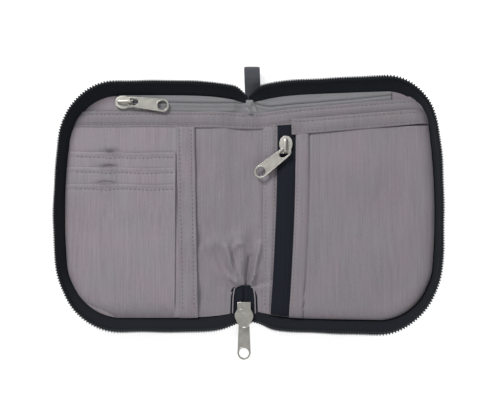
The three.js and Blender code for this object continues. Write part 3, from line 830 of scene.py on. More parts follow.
def header_band(side):
    """The hemmed band along the bill pocket's mouth."""
    name = side_name(side)
    s, v = panel_grid(side, 0, FAR, header_low, header_high, 0.8)
    nodes = panel_nodes(side, "wide_pocket_band")
    lay(f"{name}_bill_pocket_band", s, v, header_height(s, v),
        "band", side, True, nodes, thickness=0.5, roll=0.3, onto=f"{name}_bill_pocket_cloth")
    for share, seed in ((0.83, 1), (0.17, 2)):
        across = np.arange(1.5, 100, 1.0)
        path_s = side * across
        path_v = header_low(path_s) + share * (HEADER[1] - HEADER[0])
        keep = across < reach(side, path_v) - 1.5
        seam(f"band{side}", path_s[keep], path_v[keep], header_height, 0.5, seed)
    finish_stitches(f"band{side}", f"{name}_bill_pocket_stitches", side, True)


# ---------- Left cover: the slip pocket and its three card slots ----------
def slip_height(s, v):
    across = np.abs(s)
    lip = bell(across - 29.5, 4.5) * (1.1 * bell(v + 20, 9.0) + 0.9 * bell(v + 50, 7.0) + 0.3)
    dent = -1.5 * bell(across - 79, 4.5) * bell(v - CARD_MOUTHS[0] - 0.3, 1.1)
    return layer_height(LEVEL["slip"], s, v, 5) + lip + dent


def slip_edge(v, edge):
    """Where the slip pocket's hem lies: its inner edge (0) or its outer edge (1)."""
    t = np.clip((header_low(0) - v) / 110.0, 0, 1)
    return SLIP_BAND[0][edge] + (SLIP_BAND[1][edge] - SLIP_BAND[0][edge]) * t


def slip_inner(v):
    return slip_edge(v, 0)


def slip_outer(v):
    return slip_edge(v, 1)


def slip_pocket():
    s, v = panel_grid(-1, lambda x: slip_inner(x) + 0.2, FAR, bottom_edge,
                      lambda x: header_low(x) - 0.15, 1.3)
    lay("slip_pocket_cloth", s, v, slip_height(s, v), "lining", -1, False, ["slip_pocket_front"])

    def band_height(a, b):
        mid = (np.abs(a) - slip_inner(b)) / (slip_outer(b) - slip_inner(b))
        puff = 0.22 * hump(mid)
        tuck = -0.3 * bell(mid - 0.17, 0.07) - 0.3 * bell(mid - 0.84, 0.07)
        return slip_height(a, b) + CLOTH + 0.05 + puff + tuck + ripple(a, b, 43, 13, 0.06)

    s, v = panel_grid(-1, slip_inner, slip_outer, bottom_edge, lambda x: header_low(x) - 0.1, 0.8)
    lay("slip_pocket_hem", s, v, band_height(s, v),
        "strip", -1, False, ["slip_pocket_band"], thickness=HEM_CLOTH, roll=HEM_EDGE)
    rows = np.arange(HEADER[0] - 1.0, -61.5, -1.0)
    for share, seed in ((0.17, 3), (0.84, 4)):
        path_s = -(slip_inner(rows) + share * (slip_outer(rows) - slip_inner(rows)))
        seam("slip", path_s, rows, band_height, HEM_CLOTH, seed)


def card_slots():
    """Three overlapping card slots, each with a turned hem, a stitch row and slightly gaping mouths."""
    for index, mouth in enumerate(CARD_MOUTHS):
        def sagging(x, m=mouth, k=index):
            a = (np.abs(x) - CARD_EDGE) / 60.0
            dent = 0.75 * bell(np.abs(x) - 79 - k, 4.5)
            droop = 0.35 * np.sin(np.clip(a, 0, 1) * np.pi * (1.6 + 0.3 * k))
            return m - 0.25 - dent - droop + 0.15 * np.sin(a * 13 + k)

        def height(a, b, m=mouth, k=index):
            across = np.abs(a)
            base = layer_height(LEVEL["card"] + 0.5 * (k + 1), a, b, 6 + k)
            gape = bell(across - 79 - k, 5.0) * 1.5 + bell(across - 57, 8.0) * 0.3
            near_mouth = np.exp(-np.clip(m - b, 0, 60) / 4.0)
            if k < 2:
                below = CARD_MOUTHS[k + 1]
                press = 1.6 * bell(across - 80 - k, 4.5) * bell(b - below - 0.3, 1.1)
                gape = gape - press / np.maximum(near_mouth, 0.05)
            hem = 0.22 * smooth(1 - np.abs(m - 1.4 - b) / 2.2)
            tuck = -0.18 * bell(m - 2.9 - b, 0.6)
            fall = 1 - 0.22 * smooth((m - b) / 30)
            settle = 0.55 * k * smooth((m - b - 4) / 30)
            inner = smooth((across - CARD_EDGE) / 3.0)
            raised = (gape * near_mouth + hem + tuck) * inner * fall
            return base - settle + raised + ripple(a, b, 50 + k, 22, 0.06)

        s, v = panel_grid(-1, CARD_EDGE, FAR, bottom_edge, sagging, 1.5)
        rows = s.shape[0]
        name = f"card_slot_{index + 1}"
        # rows are drawn closer together at the mouth, where the hem and its stitching are
        t = np.linspace(0, 1, rows)[:, None] ** 0.55
        low, high = v[:1], v[-1:]
        v2 = low + (high - low) * t
        limit = reach(-1, v2, 0.15) - 0.15
        a = (np.abs(s) - CARD_EDGE) / np.maximum(np.abs(s).max(axis=1, keepdims=True) - CARD_EDGE, 1e-6)
        s2 = -(CARD_EDGE + (limit - CARD_EDGE) * a)
        lay(f"{name}_cloth", s2, v2, height(s2, v2),
            "lining", -1, False, [name], thickness=CLOTH + 0.06, roll=0.12)
        across = np.arange(CARD_EDGE + 0.8, 99.5, 1.0)
        path = np.stack([-across, sagging(-across) - 2.9], 1)
        keep = across < reach(-1, path[:, 1]) - 1.5
        seam("slip", path[keep, 0], path[keep, 1], height, CLOTH + 0.06, 5 + index)
    finish_stitches("slip", "slip_pocket_stitches", -1)


# ---------- Right cover: the zipped flat pocket ----------
def stash_centre(v):
    """Middle of the flat pocket's zip, as a distance across from the spine."""
    t = (47.4 - v) / 111.0
    return FOLD + 12.4 - 4.4 * t + 1.2 * np.sin(np.pi * np.clip(t, 0, 1)) ** 0.8


def inner_hem():
    """The lining's turned edge beside the flat pocket's zip."""
    def low(v):
        return np.maximum(FOLD + 3.0, stash_centre(v) - 9.5) - 5.0

    def high(v):
        return stash_centre(v) - 5.45

    def height(a, b):
        mid = (a - low(b)) / (high(b) - low(b))
        puff = 0.55 * hump(mid)
        tuck = -0.3 * bell(mid - 0.80, 0.07) - 0.3 * bell(mid - 0.14, 0.07)
        return wide_height(a, b) + CLOTH + 0.1 + puff + tuck + ripple(a, b, 61, 11, 0.10)

    s, v = panel_grid(1, low, high, lambda x: bottom_edge(x) + 0.5,
                      lambda x: np.full(np.shape(x), header_low(15) - 0.2), 0.8)
    lay("flat_pocket_inner_hem", s, v, height(s, v),
        "strip", 1, True, ["stash_pocket_inner_hem"],
        thickness=HEM_CLOTH, roll=HEM_EDGE, onto="right_bill_pocket_cloth")
    rows = np.arange(header_low(15) - 1.5, -60.0, -1.0)
    for share, seed in ((0.80, 8), (0.14, 9)):
        path_s = low(rows) + share * (high(rows) - low(rows))
        seam("inner_hem", path_s, rows, height, HEM_CLOTH, seed)
    finish_stitches("inner_hem", "flat_pocket_inner_stitches", 1, True)


def stash_pocket():
    """The flat pocket: black zip strip, then the front with its stitched hem and top band."""
    def strip_height(a, b):
        across = a - stash_centre(b)
        swell = 0.55 * bell(across, 1.9) - 0.28 * bell(across, 0.28)
        lips = 0.12 * np.cos(across * 2.4)
        return layer_height(6.1, a, b, 6) + swell + lips + ripple(a, b, 71, 18, 0.10)

    def strip(name, near, far, nodes):
        s, v = panel_grid(1, lambda x: stash_centre(x) + near, lambda x: stash_centre(x) + far,
                          lambda x: bottom_edge(x) + 0.3,
                          lambda x: np.full(np.shape(x), header_low(20) + 0.2), 0.5)
        lay(name, s, v, strip_height(s, v),
            "black_strip", 1, False, nodes, thickness=0.4, onto="flat_pocket_cloth")

    strip("flat_pocket_zip_strip_inner", -5.6, 0.0, ["stash_zip_tape_inner", "stash_zip_coil_inner"])
    strip("flat_pocket_zip_strip_outer", 0.0, 6.4, ["stash_zip_tape_outer", "stash_zip_coil_outer"])

    def front_height(a, b):
        across = a - stash_centre(b)
        hem = 0.30 * hump((across - 5.2) / 7.4)
        tuck = -0.25 * bell(across - 6.3, 0.45) - 0.75 * bell(across - 12.9, 0.42)
        step = 0.45 * smooth((12.9 - across) / 0.5)
        return (layer_height(LEVEL["stash"] + 0.05, a, b, 8) + hem + tuck + step
                + ripple(a, b, 73, 60, 0.35) * smooth((across - 10) / 15) * smooth(edge_distance(a, b) / 12)
                + ripple(a, b, 74, 15, 0.05))

    s, v = panel_grid(1, lambda x: stash_centre(x) + 5.2, FAR, bottom_edge,
                      lambda x: np.full(np.shape(x), STASH_HEADER[0] + 3.0), 0.8)
    lay("flat_pocket_cloth", s, v, front_height(s, v),
        "lining_right", 1, False, ["stash_pocket_front", "stash_pocket_back"], roll=0.15)
    rows = np.arange(header_low(20) - 9.0, -61.0, -1.0)
    seam("flat", stash_centre(rows) + 6.3, rows, front_height, CLOTH, 12)

    def band_low(x):
        return STASH_HEADER[0] + np.maximum(0, x - 26) * 0.060

    def band_high(x):
        return STASH_HEADER[1] + np.maximum(0, x - 26) * 0.052 + 0.6 * bell(x - 24, 4.0)

    def band_height(a, b):
        mid = (b - band_low(a)) / (band_high(a) - band_low(a))
        puff = 0.25 * hump(mid)
        tuck = -0.3 * bell(mid - 0.14, 0.07) - 0.3 * bell(mid - 0.82, 0.07)
        corner = 0.9 * bell(a - 25, 5.0) * smooth(mid)
        return layer_height(LEVEL["stash_band"], a, b, 9) + puff + tuck + corner + ripple(a, b, 77, 17, 0.10)

    s, v = panel_grid(1, lambda x: stash_centre(x) + 3.0, FAR, band_low, band_high, 0.8)
    lay("flat_pocket_band", s, v, band_height(s, v),
        "band", 1, False, ["stash_pocket_band"], thickness=HEM_CLOTH, roll=HEM_EDGE, onto="flat_pocket_cloth")
    across = np.arange(27.6, 101, 1.0)
    for share, seed in ((0.14, 14), (0.82, 15)):
        path_v = band_low(across) + share * (band_high(across) - band_low(across))
        keep = across < reach(1, path_v) - 2.0
        seam("flat", across[keep], path_v[keep], band_height, HEM_CLOTH, seed)
    finish_stitches("flat", "flat_pocket_stitches", 1)


for cover in (-1, 1):
    outer_shell(cover)
    foam(cover)
    base_lining(cover)
    zip_pocket_front(cover)
    wide_pocket(cover)
    header_band(cover)
slip_pocket()
card_slots()
inner_hem()
stash_pocket()


# ---------- The main zip round each cover ----------
def wall_path(side, step):
    """Points, outward directions and arc lengths along a cover's sewn edge, from the slider round."""
    first = 6.2 if side < 0 else 1.2
    corner = np.linspace(0, math.pi / 2, 90)[1:]
    head, foot = CORNERS[side]
    bottom = np.arange(first, REACH - foot, 0.4)
    upright = np.arange(foot - HALF, HALF - head, 0.4)[1:]
    top = np.arange(REACH - head, -0.001, -0.4)
    across = np.concatenate([bottom, REACH - foot + foot * np.sin(corner), np.full(len(upright), REACH),
                             REACH - head + head * np.cos(corner), top])
    v = np.concatenate([-(HALF - dip(bottom)), foot - HALF - foot * np.cos(corner), upright,
                        HALF - head + head * np.sin(corner), HALF - dip(top)])
    across = across + bow(v) * smooth((across - 50) / 20)
    lengths = np.concatenate([[0], np.cumsum(np.hypot(np.diff(across), np.diff(v)))])
    at = np.arange(0, lengths[-1], step)
    a, b = np.interp(at, lengths, across), np.interp(at, lengths, v)
    da = np.interp(at + 0.8, lengths, across) - np.interp(at - 0.8, lengths, across)
    db = np.interp(at + 0.8, lengths, v) - np.interp(at - 0.8, lengths, v)
    size = np.maximum(np.hypot(da, db), 1e-6)
    return a, b, db / size, -da / size, at


def wall_points(side, a, b, out_a, out_v, at, up, off):
    """Flat points of the leaning tape: up along its width, off from its face.

    Near the slider and at the spine's head the tape lies down and narrows.
    """
    lean = 0.40 + 0.28 * np.abs(out_v) ** 3
    low_end = smooth(1 - (a - 6.5) / 14.0) * (b < 0)
    high_end = smooth(1 - (a - 0.2) / 10.0) * (b > 0)
    lean = lean + (0.998 - lean) * low_end + (0.90 - lean) * high_end
    scale = 1 - 0.42 * low_end - 0.58 * high_end
    foot = 3.5 + 0.95 * low_end + 0.1 * high_end
    loose = (1 - low_end) * (1 - high_end)
    lean = lean + loose * (0.018 * np.sin(at / 9.3 + side) + 0.012 * np.sin(at / 4.1 + 2 * side))
    rise = np.sqrt(np.maximum(1 - lean**2, 0))
    curve = 0.35 * hump(up / 8.5)
    out = up * scale * lean + (off + curve) * rise
    height = foot + up * scale * rise - (off + curve) * lean
    return side * (a + out_a * out), b + out_v * out, height


# A coil tooth's sections: how far up the tape, half its length along the tape and half its depth.
TOOTH = ((7.5, 0.34, 0.40), (8.2, 0.46, 0.62), (9.6, 0.46, 0.66), (10.35, 0.48, 0.62), (10.85, 0.30, 0.36))


def main_zip(side):
    name = side_name(side)
    a, b, oa, ov, at = wall_path(side, 1.0)
    ups = np.array([-0.15, 0.5, 1.4, 2.6, 3.8, 5.0, 6.2, 7.2, 8.0])
    outside = [(up, 0.0) for up in ups] + [(ups[-1] + 0.12, 0.2)]
    inside = [(up, 0.42) for up in ups[::-1]] + [(ups[0] - 0.1, 0.2)]
    rows = outside + inside
    points, flats = [], []
    for up, off in rows:
        s, v, h = wall_points(side, a, b, oa, ov, at, up, off)
        points.append(place(s, v, h))
        flats.append(np.stack([at, np.full_like(at, up), h], -1))
    points, flats = np.array(points).transpose(1, 0, 2), np.array(flats).transpose(1, 0, 2)
    count, ring = points.shape[:2]
    faces = tube_faces(count, ring)
    tape = new_mesh(f"{name}_main_tape", points.reshape(-1, 3), faces, flats.reshape(-1, 3))
    fix_normals(tape)
    sharpen(tape, 60)
    attach(tape, "black_tape", side, True, replaces=[f"{name}_main_zip_tape"])

    # Each tooth is one loop of the nylon coil. Its length is built up from the sections in TOOTH.
    a, b, oa, ov, at = wall_path(side, COIL_PITCH)
    verts, flats, faces = [], [], []
    loop = circle(8)
    for i in range(1, len(a) - 1):
        base = len(verts)
        for up, along, deep in TOOTH:
            for c, w in loop:
                dt = c * along
                pa, pb = a[i] - ov[i] * dt, b[i] + oa[i] * dt
                s, v, h = wall_points(side, pa, pb, oa[i], ov[i], at[i], up, 0.21 + w * deep)
                verts.append(place(s, v, h))
                flats.append((at[i], up, w))
        for r in range(4):
            for k in range(8):
                m = (k + 1) % 8
                faces.append((base + r * 8 + k, base + r * 8 + m, base + r * 8 + 8 + m, base + r * 8 + 8 + k))
        faces.append(tuple(base + k for k in reversed(range(8))))
        faces.append(tuple(base + 32 + k for k in range(8)))
    base = len(verts)
    for i in range(len(a)):
        for c, w in loop[::2]:
            s, v, h = wall_points(side, a[i], b[i], oa[i], ov[i], at[i], 8.95 + 1.1 * c, 0.21 + 0.5 * w)
            verts.append(place(s, v, h))
            flats.append((at[i], 9, w))
    faces += [tuple(base + k for k in face) for face in tube_faces(len(a), 4)]
    coil = new_mesh(f"{name}_main_coil", verts, faces, flats)
    fix_normals(coil)
    attach(coil, "black_coil", side, True, replaces=[f"{name}_main_zip_coil"])


def arch_tapes():
    """The zip's two tape ends, sewn side by side into the arch at the foot of the spine."""
    for side in (-1, 1):
        t = np.linspace(0, 1, 30)[:, None]
        c = np.linspace(0, 1, 10)[None, :]
        v = -67.0 + 21.6 * t + 0 * c
        wide = 7.9 - 0.6 * smooth((v + 50) / 4) - 3.6 * smooth((-60.5 - v) / 4.0)
        head = np.sqrt(np.clip(1 - np.clip((v + 50.0) / 4.9, 0, 1) ** 2, 0.02, 1))
        across = 0.05 + c * (wide * (0.35 + 0.65 * head))
        s = ARCH_S + side * across
        edge = np.abs(across)
        h = 3.95 + 0.75 * bell(edge - 1.6, 1.1) - 0.35 * bell(edge, 0.3) - 0.35 * smooth((edge - 4) / 3)
        h = np.where(v < -53.5, np.minimum(h, 4.55 - 0.1 * smooth((-53.5 - v) / 2)), h)
        node = side_name(side)
        nodes = [f"main_end_tape_{node}", f"main_end_coil_{node}"]
        lay(f"{node}_arch_tape", s, v, h, "black_strip", 0, False, nodes,
            thickness=0.4, onto="left_bill_pocket_cloth")
    for side in (-1, 1):
        t = np.linspace(0, 1, 26)
        v = -46.9 - 14.5 * t
        s = ARCH_S + side * (5.3 + 0.75 * np.sin(np.clip(t * 2.2, 0, 1) * math.pi / 2) + 0.45 * t)
        h = 4.55 + 0.35 * np.sin(t * math.pi) + 0.05 * np.sin(t * 23)
        points, flats = [], []
        for i in range(len(t)):
            for k in range(8):
                angle = k * math.pi / 4
                points.append(place(s[i] + 0.36 * math.cos(angle), v[i], h[i] + 0.36 * math.sin(angle)))
                flats.append((s[i] + math.cos(angle), v[i], k))
        faces = tube_faces(len(t), 8)
        piping = new_mesh(f"{side_name(side)}_arch_piping", points, faces, flats)
        fix_normals(piping)
        attach(piping, "piping")


# ---------- The top pocket's zip ----------
def pocket_zip(side):
    name = side_name(side)
    end = 74.5 if side < 0 else 82.0

    def height(s, v):
        away = np.abs(v - zip_line(s))
        chain = 0.55 * bell(away - 1.35, 0.85) - 0.25 * bell(away, 0.22)
        base = layer_height(spine_level(4.25, 3.75, s), s, v, 2)
        level_run = smooth((-5 - s) / 4) * smooth((5.6 - away) / 1.4)  # level with the slider's own slot
        base = base + (SLIDER_SLOT - base) * level_run
        bunch = 1.7 * bell(s - 1.0, 2.5) * (1 + 0.28 * np.sin(v * 2.1 + 1.5 * s))
        gather = bunch - 0.6 * bell(s + 3.0, 1.8) - 0.4 * bell(s - 4.6, 1.5)
        wave = ripple(s, v, 83, 15, 0.12) * (1 - level_run)
        return base + chain + gather * smooth((edge_distance(s, v) + 1) / 3) + wave

    nodes = {"lower": [f"{name}_pocket_zip_tape_lower", f"{name}_pocket_zip_coil_lower"],
             "upper": [f"{name}_pocket_zip_tape_upper", f"{name}_pocket_zip_coil_upper"]}
    if side < 0:
        nodes["lower"].append("spine_pocket_zip_tape")
        nodes["upper"].append("spine_pocket_zip_coil")
    spans = {"lower": (lambda x: header_high(x) - 0.6, lambda x: zip_line(x) - 0.04),
             "upper": (lambda x: zip_line(x) + 0.04,
                       lambda x: np.minimum(zip_line(x) + 5.2, HALF - dip(x) - 0.2))}
    for part, (low, high) in spans.items():
        columns = int(end / 0.7)
        rows = 14
        s = side * np.linspace(0, end, columns)[None, :] * np.ones((rows, 1))
        t = np.linspace(0, 1, rows)[:, None]
        v = low(s) + (high(s) - low(s)) * t
        limit = reach(side, v, 0.2) - 0.2
        s = side * np.minimum(np.abs(s), limit)
        lay(f"{name}_pocket_tape_{part}", s, v, height(s, v),
            "grey_tape", side, True, nodes[part], thickness=TAPE_CLOTH, onto=f"{name}_base_lining")


def zip_gather():
    """The top pocket's zip bunches up where it crosses the middle of the spine; its tape is drawn in a
    lighter copy of the grey tape, painted light where the raised bunch catches the lamp.
    """
    b = np.linspace(-1, 1, 30)[:, None]
    a = np.linspace(-1, 1, 24)[None, :]
    v = 57.3 + 4.2 * b + 0 * a
    wide = 2.9 - 0.9 * b
    s = 1.7 - 0.9 * b + a * wide
    dome = np.sqrt(np.maximum(0, 1 - a**2)) ** 0.8 * (1 - np.abs(b) ** 3)
    pleats = 0.32 * np.cos(a * 7.5 + b * 2.6 + 0.4) + 0.14 * np.cos(b * 11 + a * 3)
    h = 3.6 + 1.5 * dome + 0.8 * pleats * dome
    lay("pocket_zip_gather", s, v, h,
        "grey_gather", 0, False, (), thickness=TAPE_CLOTH, onto="left_base_lining")


# ---------- Sliders, pulls and the webbing loop ----------
def merged(pieces):
    points, faces = [], []
    for p, f in pieces:
        base = len(points)
        points += [tuple(q) for q in p]
        faces += [tuple(base + k for k in face) for face in f]
    return np.array(points), faces


def plate(outline, holes, z0, z1, bevel=0.18):
    """A flat plate with rounded edges, from an outline and its holes."""
    data = bpy.data.curves.new("plate", "CURVE")
    data.dimensions = "2D"
    data.fill_mode = "BOTH"
    data.extrude = (z1 - z0) / 2 - bevel
    data.bevel_depth = bevel
    data.bevel_resolution = 2
    data.offset = -bevel
    for ring in [outline] + list(holes):
        spline = data.splines.new("POLY")
        spline.points.add(len(ring) - 1)
        for point, (x, y) in zip(spline.points, ring):
            point.co = (x, y, 0, 1)
        spline.use_cyclic_u = True
    obj = bpy.data.objects.new("plate", data)
    bpy.context.scene.collection.objects.link(obj)
    mesh = bpy.data.meshes.new_from_object(obj.evaluated_get(bpy.context.evaluated_depsgraph_get()))
    points = [(v.co.x, v.co.y, v.co.z + (z0 + z1) / 2) for v in mesh.vertices]
    faces = [tuple(p.vertices) for p in mesh.polygons]
    bpy.data.objects.remove(obj)
    bpy.data.curves.remove(data)
    bpy.data.meshes.remove(mesh)
    return points, faces


def strap(path, half_width, half_thick, rounding=0.3):
    """A flat strap along a path in the Y-Z plane, with rounded edges."""
    path = np.asarray(path, float)
    tangent = np.gradient(path, axis=0)
    tangent /= np.linalg.norm(tangent, axis=1)[:, None]
    normal = np.stack([-tangent[:, 1], tangent[:, 0]], 1)
    w, t, r = half_width, half_thick, min(rounding, half_thick * 0.95)
    ring = []
    rounds = ((w - r, t - r, 0), (-w + r, t - r, 90), (-w + r, -t + r, 180), (w - r, -t + r, 270))
    for cx, ct, start in rounds:
        for step in (0, 45, 90):
            angle = math.radians(start + step)
            ring.append((cx + r * math.cos(angle), ct + r * math.sin(angle)))
    points = [(x, at[0] + out[0] * o, at[1] + out[1] * o)
              for at, out in zip(path, normal) for x, o in ring]
    return points, tube_faces(len(path), len(ring))


def rounded_path(corners, radius, steps=6):
    """A path of straight runs with rounded corners."""
    corners = [np.array(c, float) for c in corners]
    path = [corners[0]]
    for before, here, after in zip(corners, corners[1:], corners[2:]):
        a = here + (before - here) / np.linalg.norm(before - here) * radius
        b = here + (after - here) / np.linalg.norm(after - here) * radius
        for t in np.linspace(0, 1, steps):
            path.append((1 - t) ** 2 * a + 2 * t * (1 - t) * here + t * t * b)
    path.append(corners[-1])
    return np.array(path)


def bezier_ring(points, steps=8):
    """An outline from (control, end) pairs: quadratic arcs, or straight where the control is None."""
    ring = [points[0]]
    for control, end in points[1:]:
        start = ring[-1]
        if control is None:
            ring.append(end)
            continue
        for t in np.linspace(0, 1, steps + 1)[1:]:
            ring.append(((1 - t) ** 2 * start[0] + 2 * t * (1 - t) * control[0] + t * t * end[0],
                         (1 - t) ** 2 * start[1] + 2 * t * (1 - t) * control[1] + t * t * end[1]))
    return ring


def slider_ring(tail_half, scale):
    """The shield outline of a slider's plate, in the slider's own millimetres."""
    nose, tail, shoulder = -5, 5.2, 3.85
    if tail_half < 3:
        # the round zip's slider has a narrow neck and straighter cheeks
        half = [(0.0, tail), (None, (tail_half, tail)), (None, (tail_half, 2.6)),
                ((tail_half, 1.9), (shoulder - 0.25, 0.55)), ((shoulder, 0.1), (shoulder, -0.3)),
                ((shoulder, -1.2), (3.0, -2.8)), ((2.3, -4.2), (1.9, -4.7)),
                ((1.5, nose), (0.9, nose)), (None, (0, nose + 0.25))]
    else:
        half = [(0.0, tail), (None, (tail_half, tail)), (None, (tail_half, 2.2)),
                ((shoulder, 1.2), (shoulder, -0.6)), ((shoulder - 0.2, -3.6), (1.3, nose)),
                (None, (0, nose))]
    right = bezier_ring(half)
    left = [(-x, y) for x, y in reversed(right[1:-1])]
    return [(x * scale, y * scale) for x, y in right + left]


def slider(name, matrix, node, body, tail_half=3.2, scale=1.0, crest=False):
    """A die-cast slider: two shield plates with flanges, the wedge between them and the pull's bridge."""
    k = scale
    pieces = [plate(slider_ring(tail_half, k), [], z0, z0 + 0.8, 0.25) for z0 in (0.9, -1.7)]
    outer, inner = tail_half - 0.05, tail_half - 0.55
    flange = [(2.9, -1.2), (3.75, -1.0), (3.7, 0.6), (outer, 2.3), (outer, 5.1), (inner, 5.1), (inner, 2.3)]
    for sign in (-1, 1):
        side_rail = [(sign * x * k, y * k) for x, y in flange]
        for z0, z1 in ((0.4, 1.2), (-1.2, -0.4)):
            pieces.append(plate(side_rail, [], z0, z1, 0.08))
    wedge = [(0.0, -4.6 * k), (0.75 * k, -3.2 * k), (0.0, -1.4 * k), (-0.75 * k, -3.2 * k)]
    pieces.append(plate(wedge, [], -1.2, 1.2, 0.08))
    corners = [(-3.0 * k, 1.2), (-2.9 * k, 3.9), (4.62 * k, 3.9), (4.62 * k, 1.2)]
    pieces.append(strap(rounded_path(corners, 0.9), 0.78 * k, 0.38))
    pieces.append(strap([(-3.5 * k, 1.75), (-2.4 * k, 1.85)], 1.2 * k, 0.2, 0.15))
    pieces.append(strap([(4.1 * k, 1.75), (5.0 * k, 1.8)], 1.25 * k, 0.2, 0.15))
    if crest:
        # the back plate's shallow relief: a lip along the neck, a raised shield and a small oval boss
        pieces.append(strap([(4.55 * k, -1.78), (5.05 * k, -1.78)], (tail_half - 0.35) * k, 0.14, 0.1))
        shield = [(x * 0.70, y * 0.62 - 0.9 * k) for x, y in slider_ring(tail_half, k)]
        pieces.append(plate(shield, [], -1.86, -1.5, 0.12))
        oval = [(1.35 * x, 0.55 * y + 0.55 * k) for x, y in circle(20)]
        pieces.append(plate(oval, [], -2.15, -1.6, 0.22))
    return metal_piece(name, merged(pieces), matrix, node, body)


def metal_piece(name, shape, matrix, node, body):
    points, faces = shape
    world = np.array([list((matrix @ Vector(p)).to_tuple()) for p in points])
    obj = new_mesh(name, world, faces, points)
    fix_normals(obj)
    sharpen(obj, 38)
    return attach(obj, "metal", body=body, replaces=[node])


def pull(name, matrix, node, body):
    """A stamped pull: a tapered plate with a barred window at the slider's end and an eye at the other."""
    near, length, end_width, width, hole = 0.5, 23.5, 7.6, 5.9, 2.75
    centre = near - length + end_width / 2

    def outline(inset):
        r = end_width / 2 - inset
        flat, corner, side = width / 2 - 0.9 - inset * 0.4, width / 2 - 0.25 - inset * 0.9, width / 2 - inset
        top = near - inset
        ring = [(-flat, top), (flat, top), (corner, near - 0.25 - inset), (side, near - 0.9 - inset)]
        ring += [(r * math.cos(a), centre + r * math.sin(a)) for a in np.linspace(0.03, -math.pi - 0.03, 36)]
        ring += [(-side, near - 0.9 - inset), (-corner, near - 0.25 - inset)]
        return ring

    window = [(-1.95, -0.5), (1.95, -0.5), (1.95, -3.2)]
    round_end = np.linspace(0, -math.pi, 14)[1:-1]
    window += [(1.95 * math.cos(a), -3.2 + 1.95 * math.sin(a) * 1.05) for a in round_end]
    window += [(-1.95, -3.2)]
    eye, rim_eye = ([(r * x, centre + r * y) for x, y in circle(40)] for r in (hole, hole + 0.75))
    rim_window = [(x * 1.28, (y + 2.7) * 1.14 - 2.75) for x, y in window]
    pieces = [plate(outline(0.12), [window, eye], -0.36, 0.36, 0.14),
              plate(outline(0.0), [outline(0.62)], -0.5, 0.5, 0.16),
              plate(rim_eye, [eye], -0.5, 0.5, 0.16), plate(rim_window, [window], -0.45, 0.45, 0.12)]
    return metal_piece(name, merged(pieces), matrix, node, body)


def slider_matrix(s, v, h, turn, flip=0.0):
    tilt = TILT if s > FOLD else 0.0
    origin = place(s, v, h)
    level = Matrix.Translation(Vector(origin)) @ Matrix.Rotation(-tilt, 4, "Y")
    return level @ Matrix.Rotation(turn, 4, "Z") @ Matrix.Rotation(flip, 4, "Y")


def pull_matrix(slider_at, leg, yaw, scale=1.0, droop=math.radians(2.8)):
    reach_y = (5 - 0.375 if leg > 0 else -3.3 + 0.375) * scale
    heading = (math.pi if leg > 0 else 0) + yaw
    hinge = slider_at @ Matrix.Translation((0, reach_y, 2.65)) @ Matrix.Rotation(heading, 4, "Z")
    return hinge @ Matrix.Translation((0, 1.44, 0)) @ Matrix.Rotation(droop, 4, "X")


def hardware():
    at = slider_matrix(-71.5, POCKET_ZIP, 5.1, -math.pi / 2)
    slider("pocket_zip_slider", at, "pocket_slider", "pocket_slider")
    pull("pocket_zip_pull", pull_matrix(at, 1, math.radians(-6)), "pocket_pull", "pocket_pull")
    at = slider_matrix(FOLD + 11.889, 34.5, 6.9, math.pi - math.atan2(4.4, 111.0))
    slider("flat_pocket_slider", at, "stash_slider", "stash_slider")
    pull("flat_pocket_pull", pull_matrix(at, 1, math.radians(-51)), "stash_pull", "stash_pull")
    at = slider_matrix(ARCH_S, SLIDER_V, 4.9, 0, math.pi)
    slider("round_zip_slider", at, "main_slider", "spine", 2.75, 1.39, crest=True)
    pull("round_zip_pull", pull_matrix(at, -1, 0.0, 1.39), "main_pull", "main_pull")


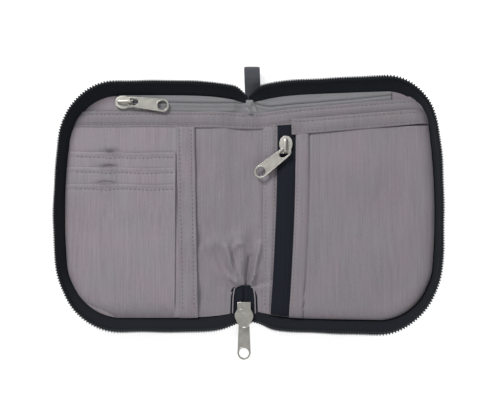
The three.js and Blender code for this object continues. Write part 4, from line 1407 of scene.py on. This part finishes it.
def webbing():
    """The webbing loop at the head of the spine: a folded strap whose eye stands a little open."""
    corners = [(53.5, 1.5), (76.2, 1.35)]
    lower = [np.array(c) for c in corners]
    turn = np.linspace(-math.pi / 2 + 0.1, math.pi / 2, 18)
    arc = [np.array([77.8 + 2.85 * math.cos(a), 4.2 + 2.85 * math.sin(a)]) for a in turn]
    upper = [np.array([74.0, 7.0]), np.array([71.0, 6.0]), np.array([68.5, 4.5]), np.array([66.0, 3.3]),
             np.array([63.0, 2.65]), np.array([58.5, 2.45]), np.array([53.5, 2.4])]
    coarse = np.array(lower + arc + upper)
    lengths = np.concatenate([[0], np.cumsum(np.hypot(*np.diff(coarse, axis=0).T))])
    at = np.arange(0, lengths[-1], 0.35)
    path = np.stack([np.interp(at, lengths, coarse[:, 0]), np.interp(at, lengths, coarse[:, 1])], 1)
    for _ in range(3):
        path[1:-1] = (path[:-2] + 2 * path[1:-1] + path[2:]) / 4
    tangent = np.gradient(path, axis=0)
    tangent /= np.linalg.norm(tangent, axis=1)[:, None]
    normal = np.stack([-tangent[:, 1], tangent[:, 0]], 1)
    columns = 23
    c = np.linspace(-1, 1, columns)
    rings, flats = [], []
    for i in range(len(path)):
        ring = []
        wobble = 0.15 * math.sin(at[i] / 7.0)
        for sign, order in ((1, c), (-1, c[::-1])):
            for x in order:
                bulge = 0.33 * math.sqrt(max(0.0, 1 - x**8)) + 0.045 * math.cos(x * 28) * (abs(x) < 0.9)
                off = sign * bulge + 0.18 * x * x * math.sin(at[i] / 11.0)
                y, z = path[i] + normal[i] * off
                ring.append((2.75 + 4.55 * x + wobble - 0.02 * (path[i, 0] - 66), y, z))
                flats.append((4.3 * x, at[i], sign))
        rings.append(ring)
    n = 2 * columns
    points = np.array(rings).reshape(-1, 3)
    faces = tube_faces(len(path), n)
    obj = new_mesh("webbing_loop_strap", points, faces, flats)
    fix_normals(obj)
    sharpen(obj, 60)
    attach(obj, "webbing", body="spine", replaces=["webbing_loop"])
    declare_sheet(obj, "left_outer_cloth")


for cover in (-1, 1):
    main_zip(cover)
    pocket_zip(cover)
arch_tapes()
zip_gather()
hardware()
webbing()


# ---------- Camera, light and floor ----------
def look_at(obj, target):
    obj.rotation_euler = (Vector(target) - obj.location).to_track_quat("-Z", "Y").to_euler()


def area_light(name, location, target, size, power):
    data = bpy.data.lights.new(name, "AREA")
    data.shape = "DISK"
    data.size = size
    data.energy = power
    light = bpy.data.objects.new(name, data)
    bpy.context.scene.collection.objects.link(light)
    light.location = location
    look_at(light, target)


def studio():
    bpy.ops.mesh.primitive_plane_add(size=60, location=(0, 0, -0.0003))
    floor = bpy.context.object
    floor.name = "floor"
    paper = bpy.data.materials.new("white_paper")
    paper.use_nodes = True
    values = {"Base Color": (0.35, 0.35, 0.35, 1), "Emission Color": (1, 1, 1, 1),
              "Emission Strength": 0.78, "Specular IOR Level": 0.1, "Roughness": 0.9}
    for key, value in values.items():
        paper.node_tree.nodes["Principled BSDF"].inputs[key].default_value = value
    floor.data.materials.append(paper)
    world = bpy.data.worlds.new("studio")
    world.use_nodes = True
    world.node_tree.nodes["Background"].inputs["Color"].default_value = (1, 1, 1, 1)
    world.node_tree.nodes["Background"].inputs["Strength"].default_value = 0.55
    bpy.context.scene.world = world
    area_light("key", (-0.5, 0.7, 0.75), (0, 0, 0), 0.5, 13.5)
    area_light("fill", (0.45, -0.7, 0.8), (0, 0, 0), 0.9, 4.5)
    bpy.context.scene.view_settings.view_transform = "Standard"
    data = bpy.data.cameras.new("camera")
    camera = bpy.data.objects.new("camera", data)
    bpy.context.scene.collection.objects.link(camera)
    distance, elevation = 0.42, math.radians(86.5)
    target = Vector((0.0012, 0.0032, 0.006))
    camera.location = target + Vector((0, -math.cos(elevation), math.sin(elevation))) * distance
    look_at(camera, target)
    sensor, view_width = 36, 0.2862
    data.sensor_width = sensor
    data.lens = sensor * distance / view_width
    data.dof.use_dof = False
    data.clip_start = 0.01
    bpy.context.scene.camera = camera


studio()
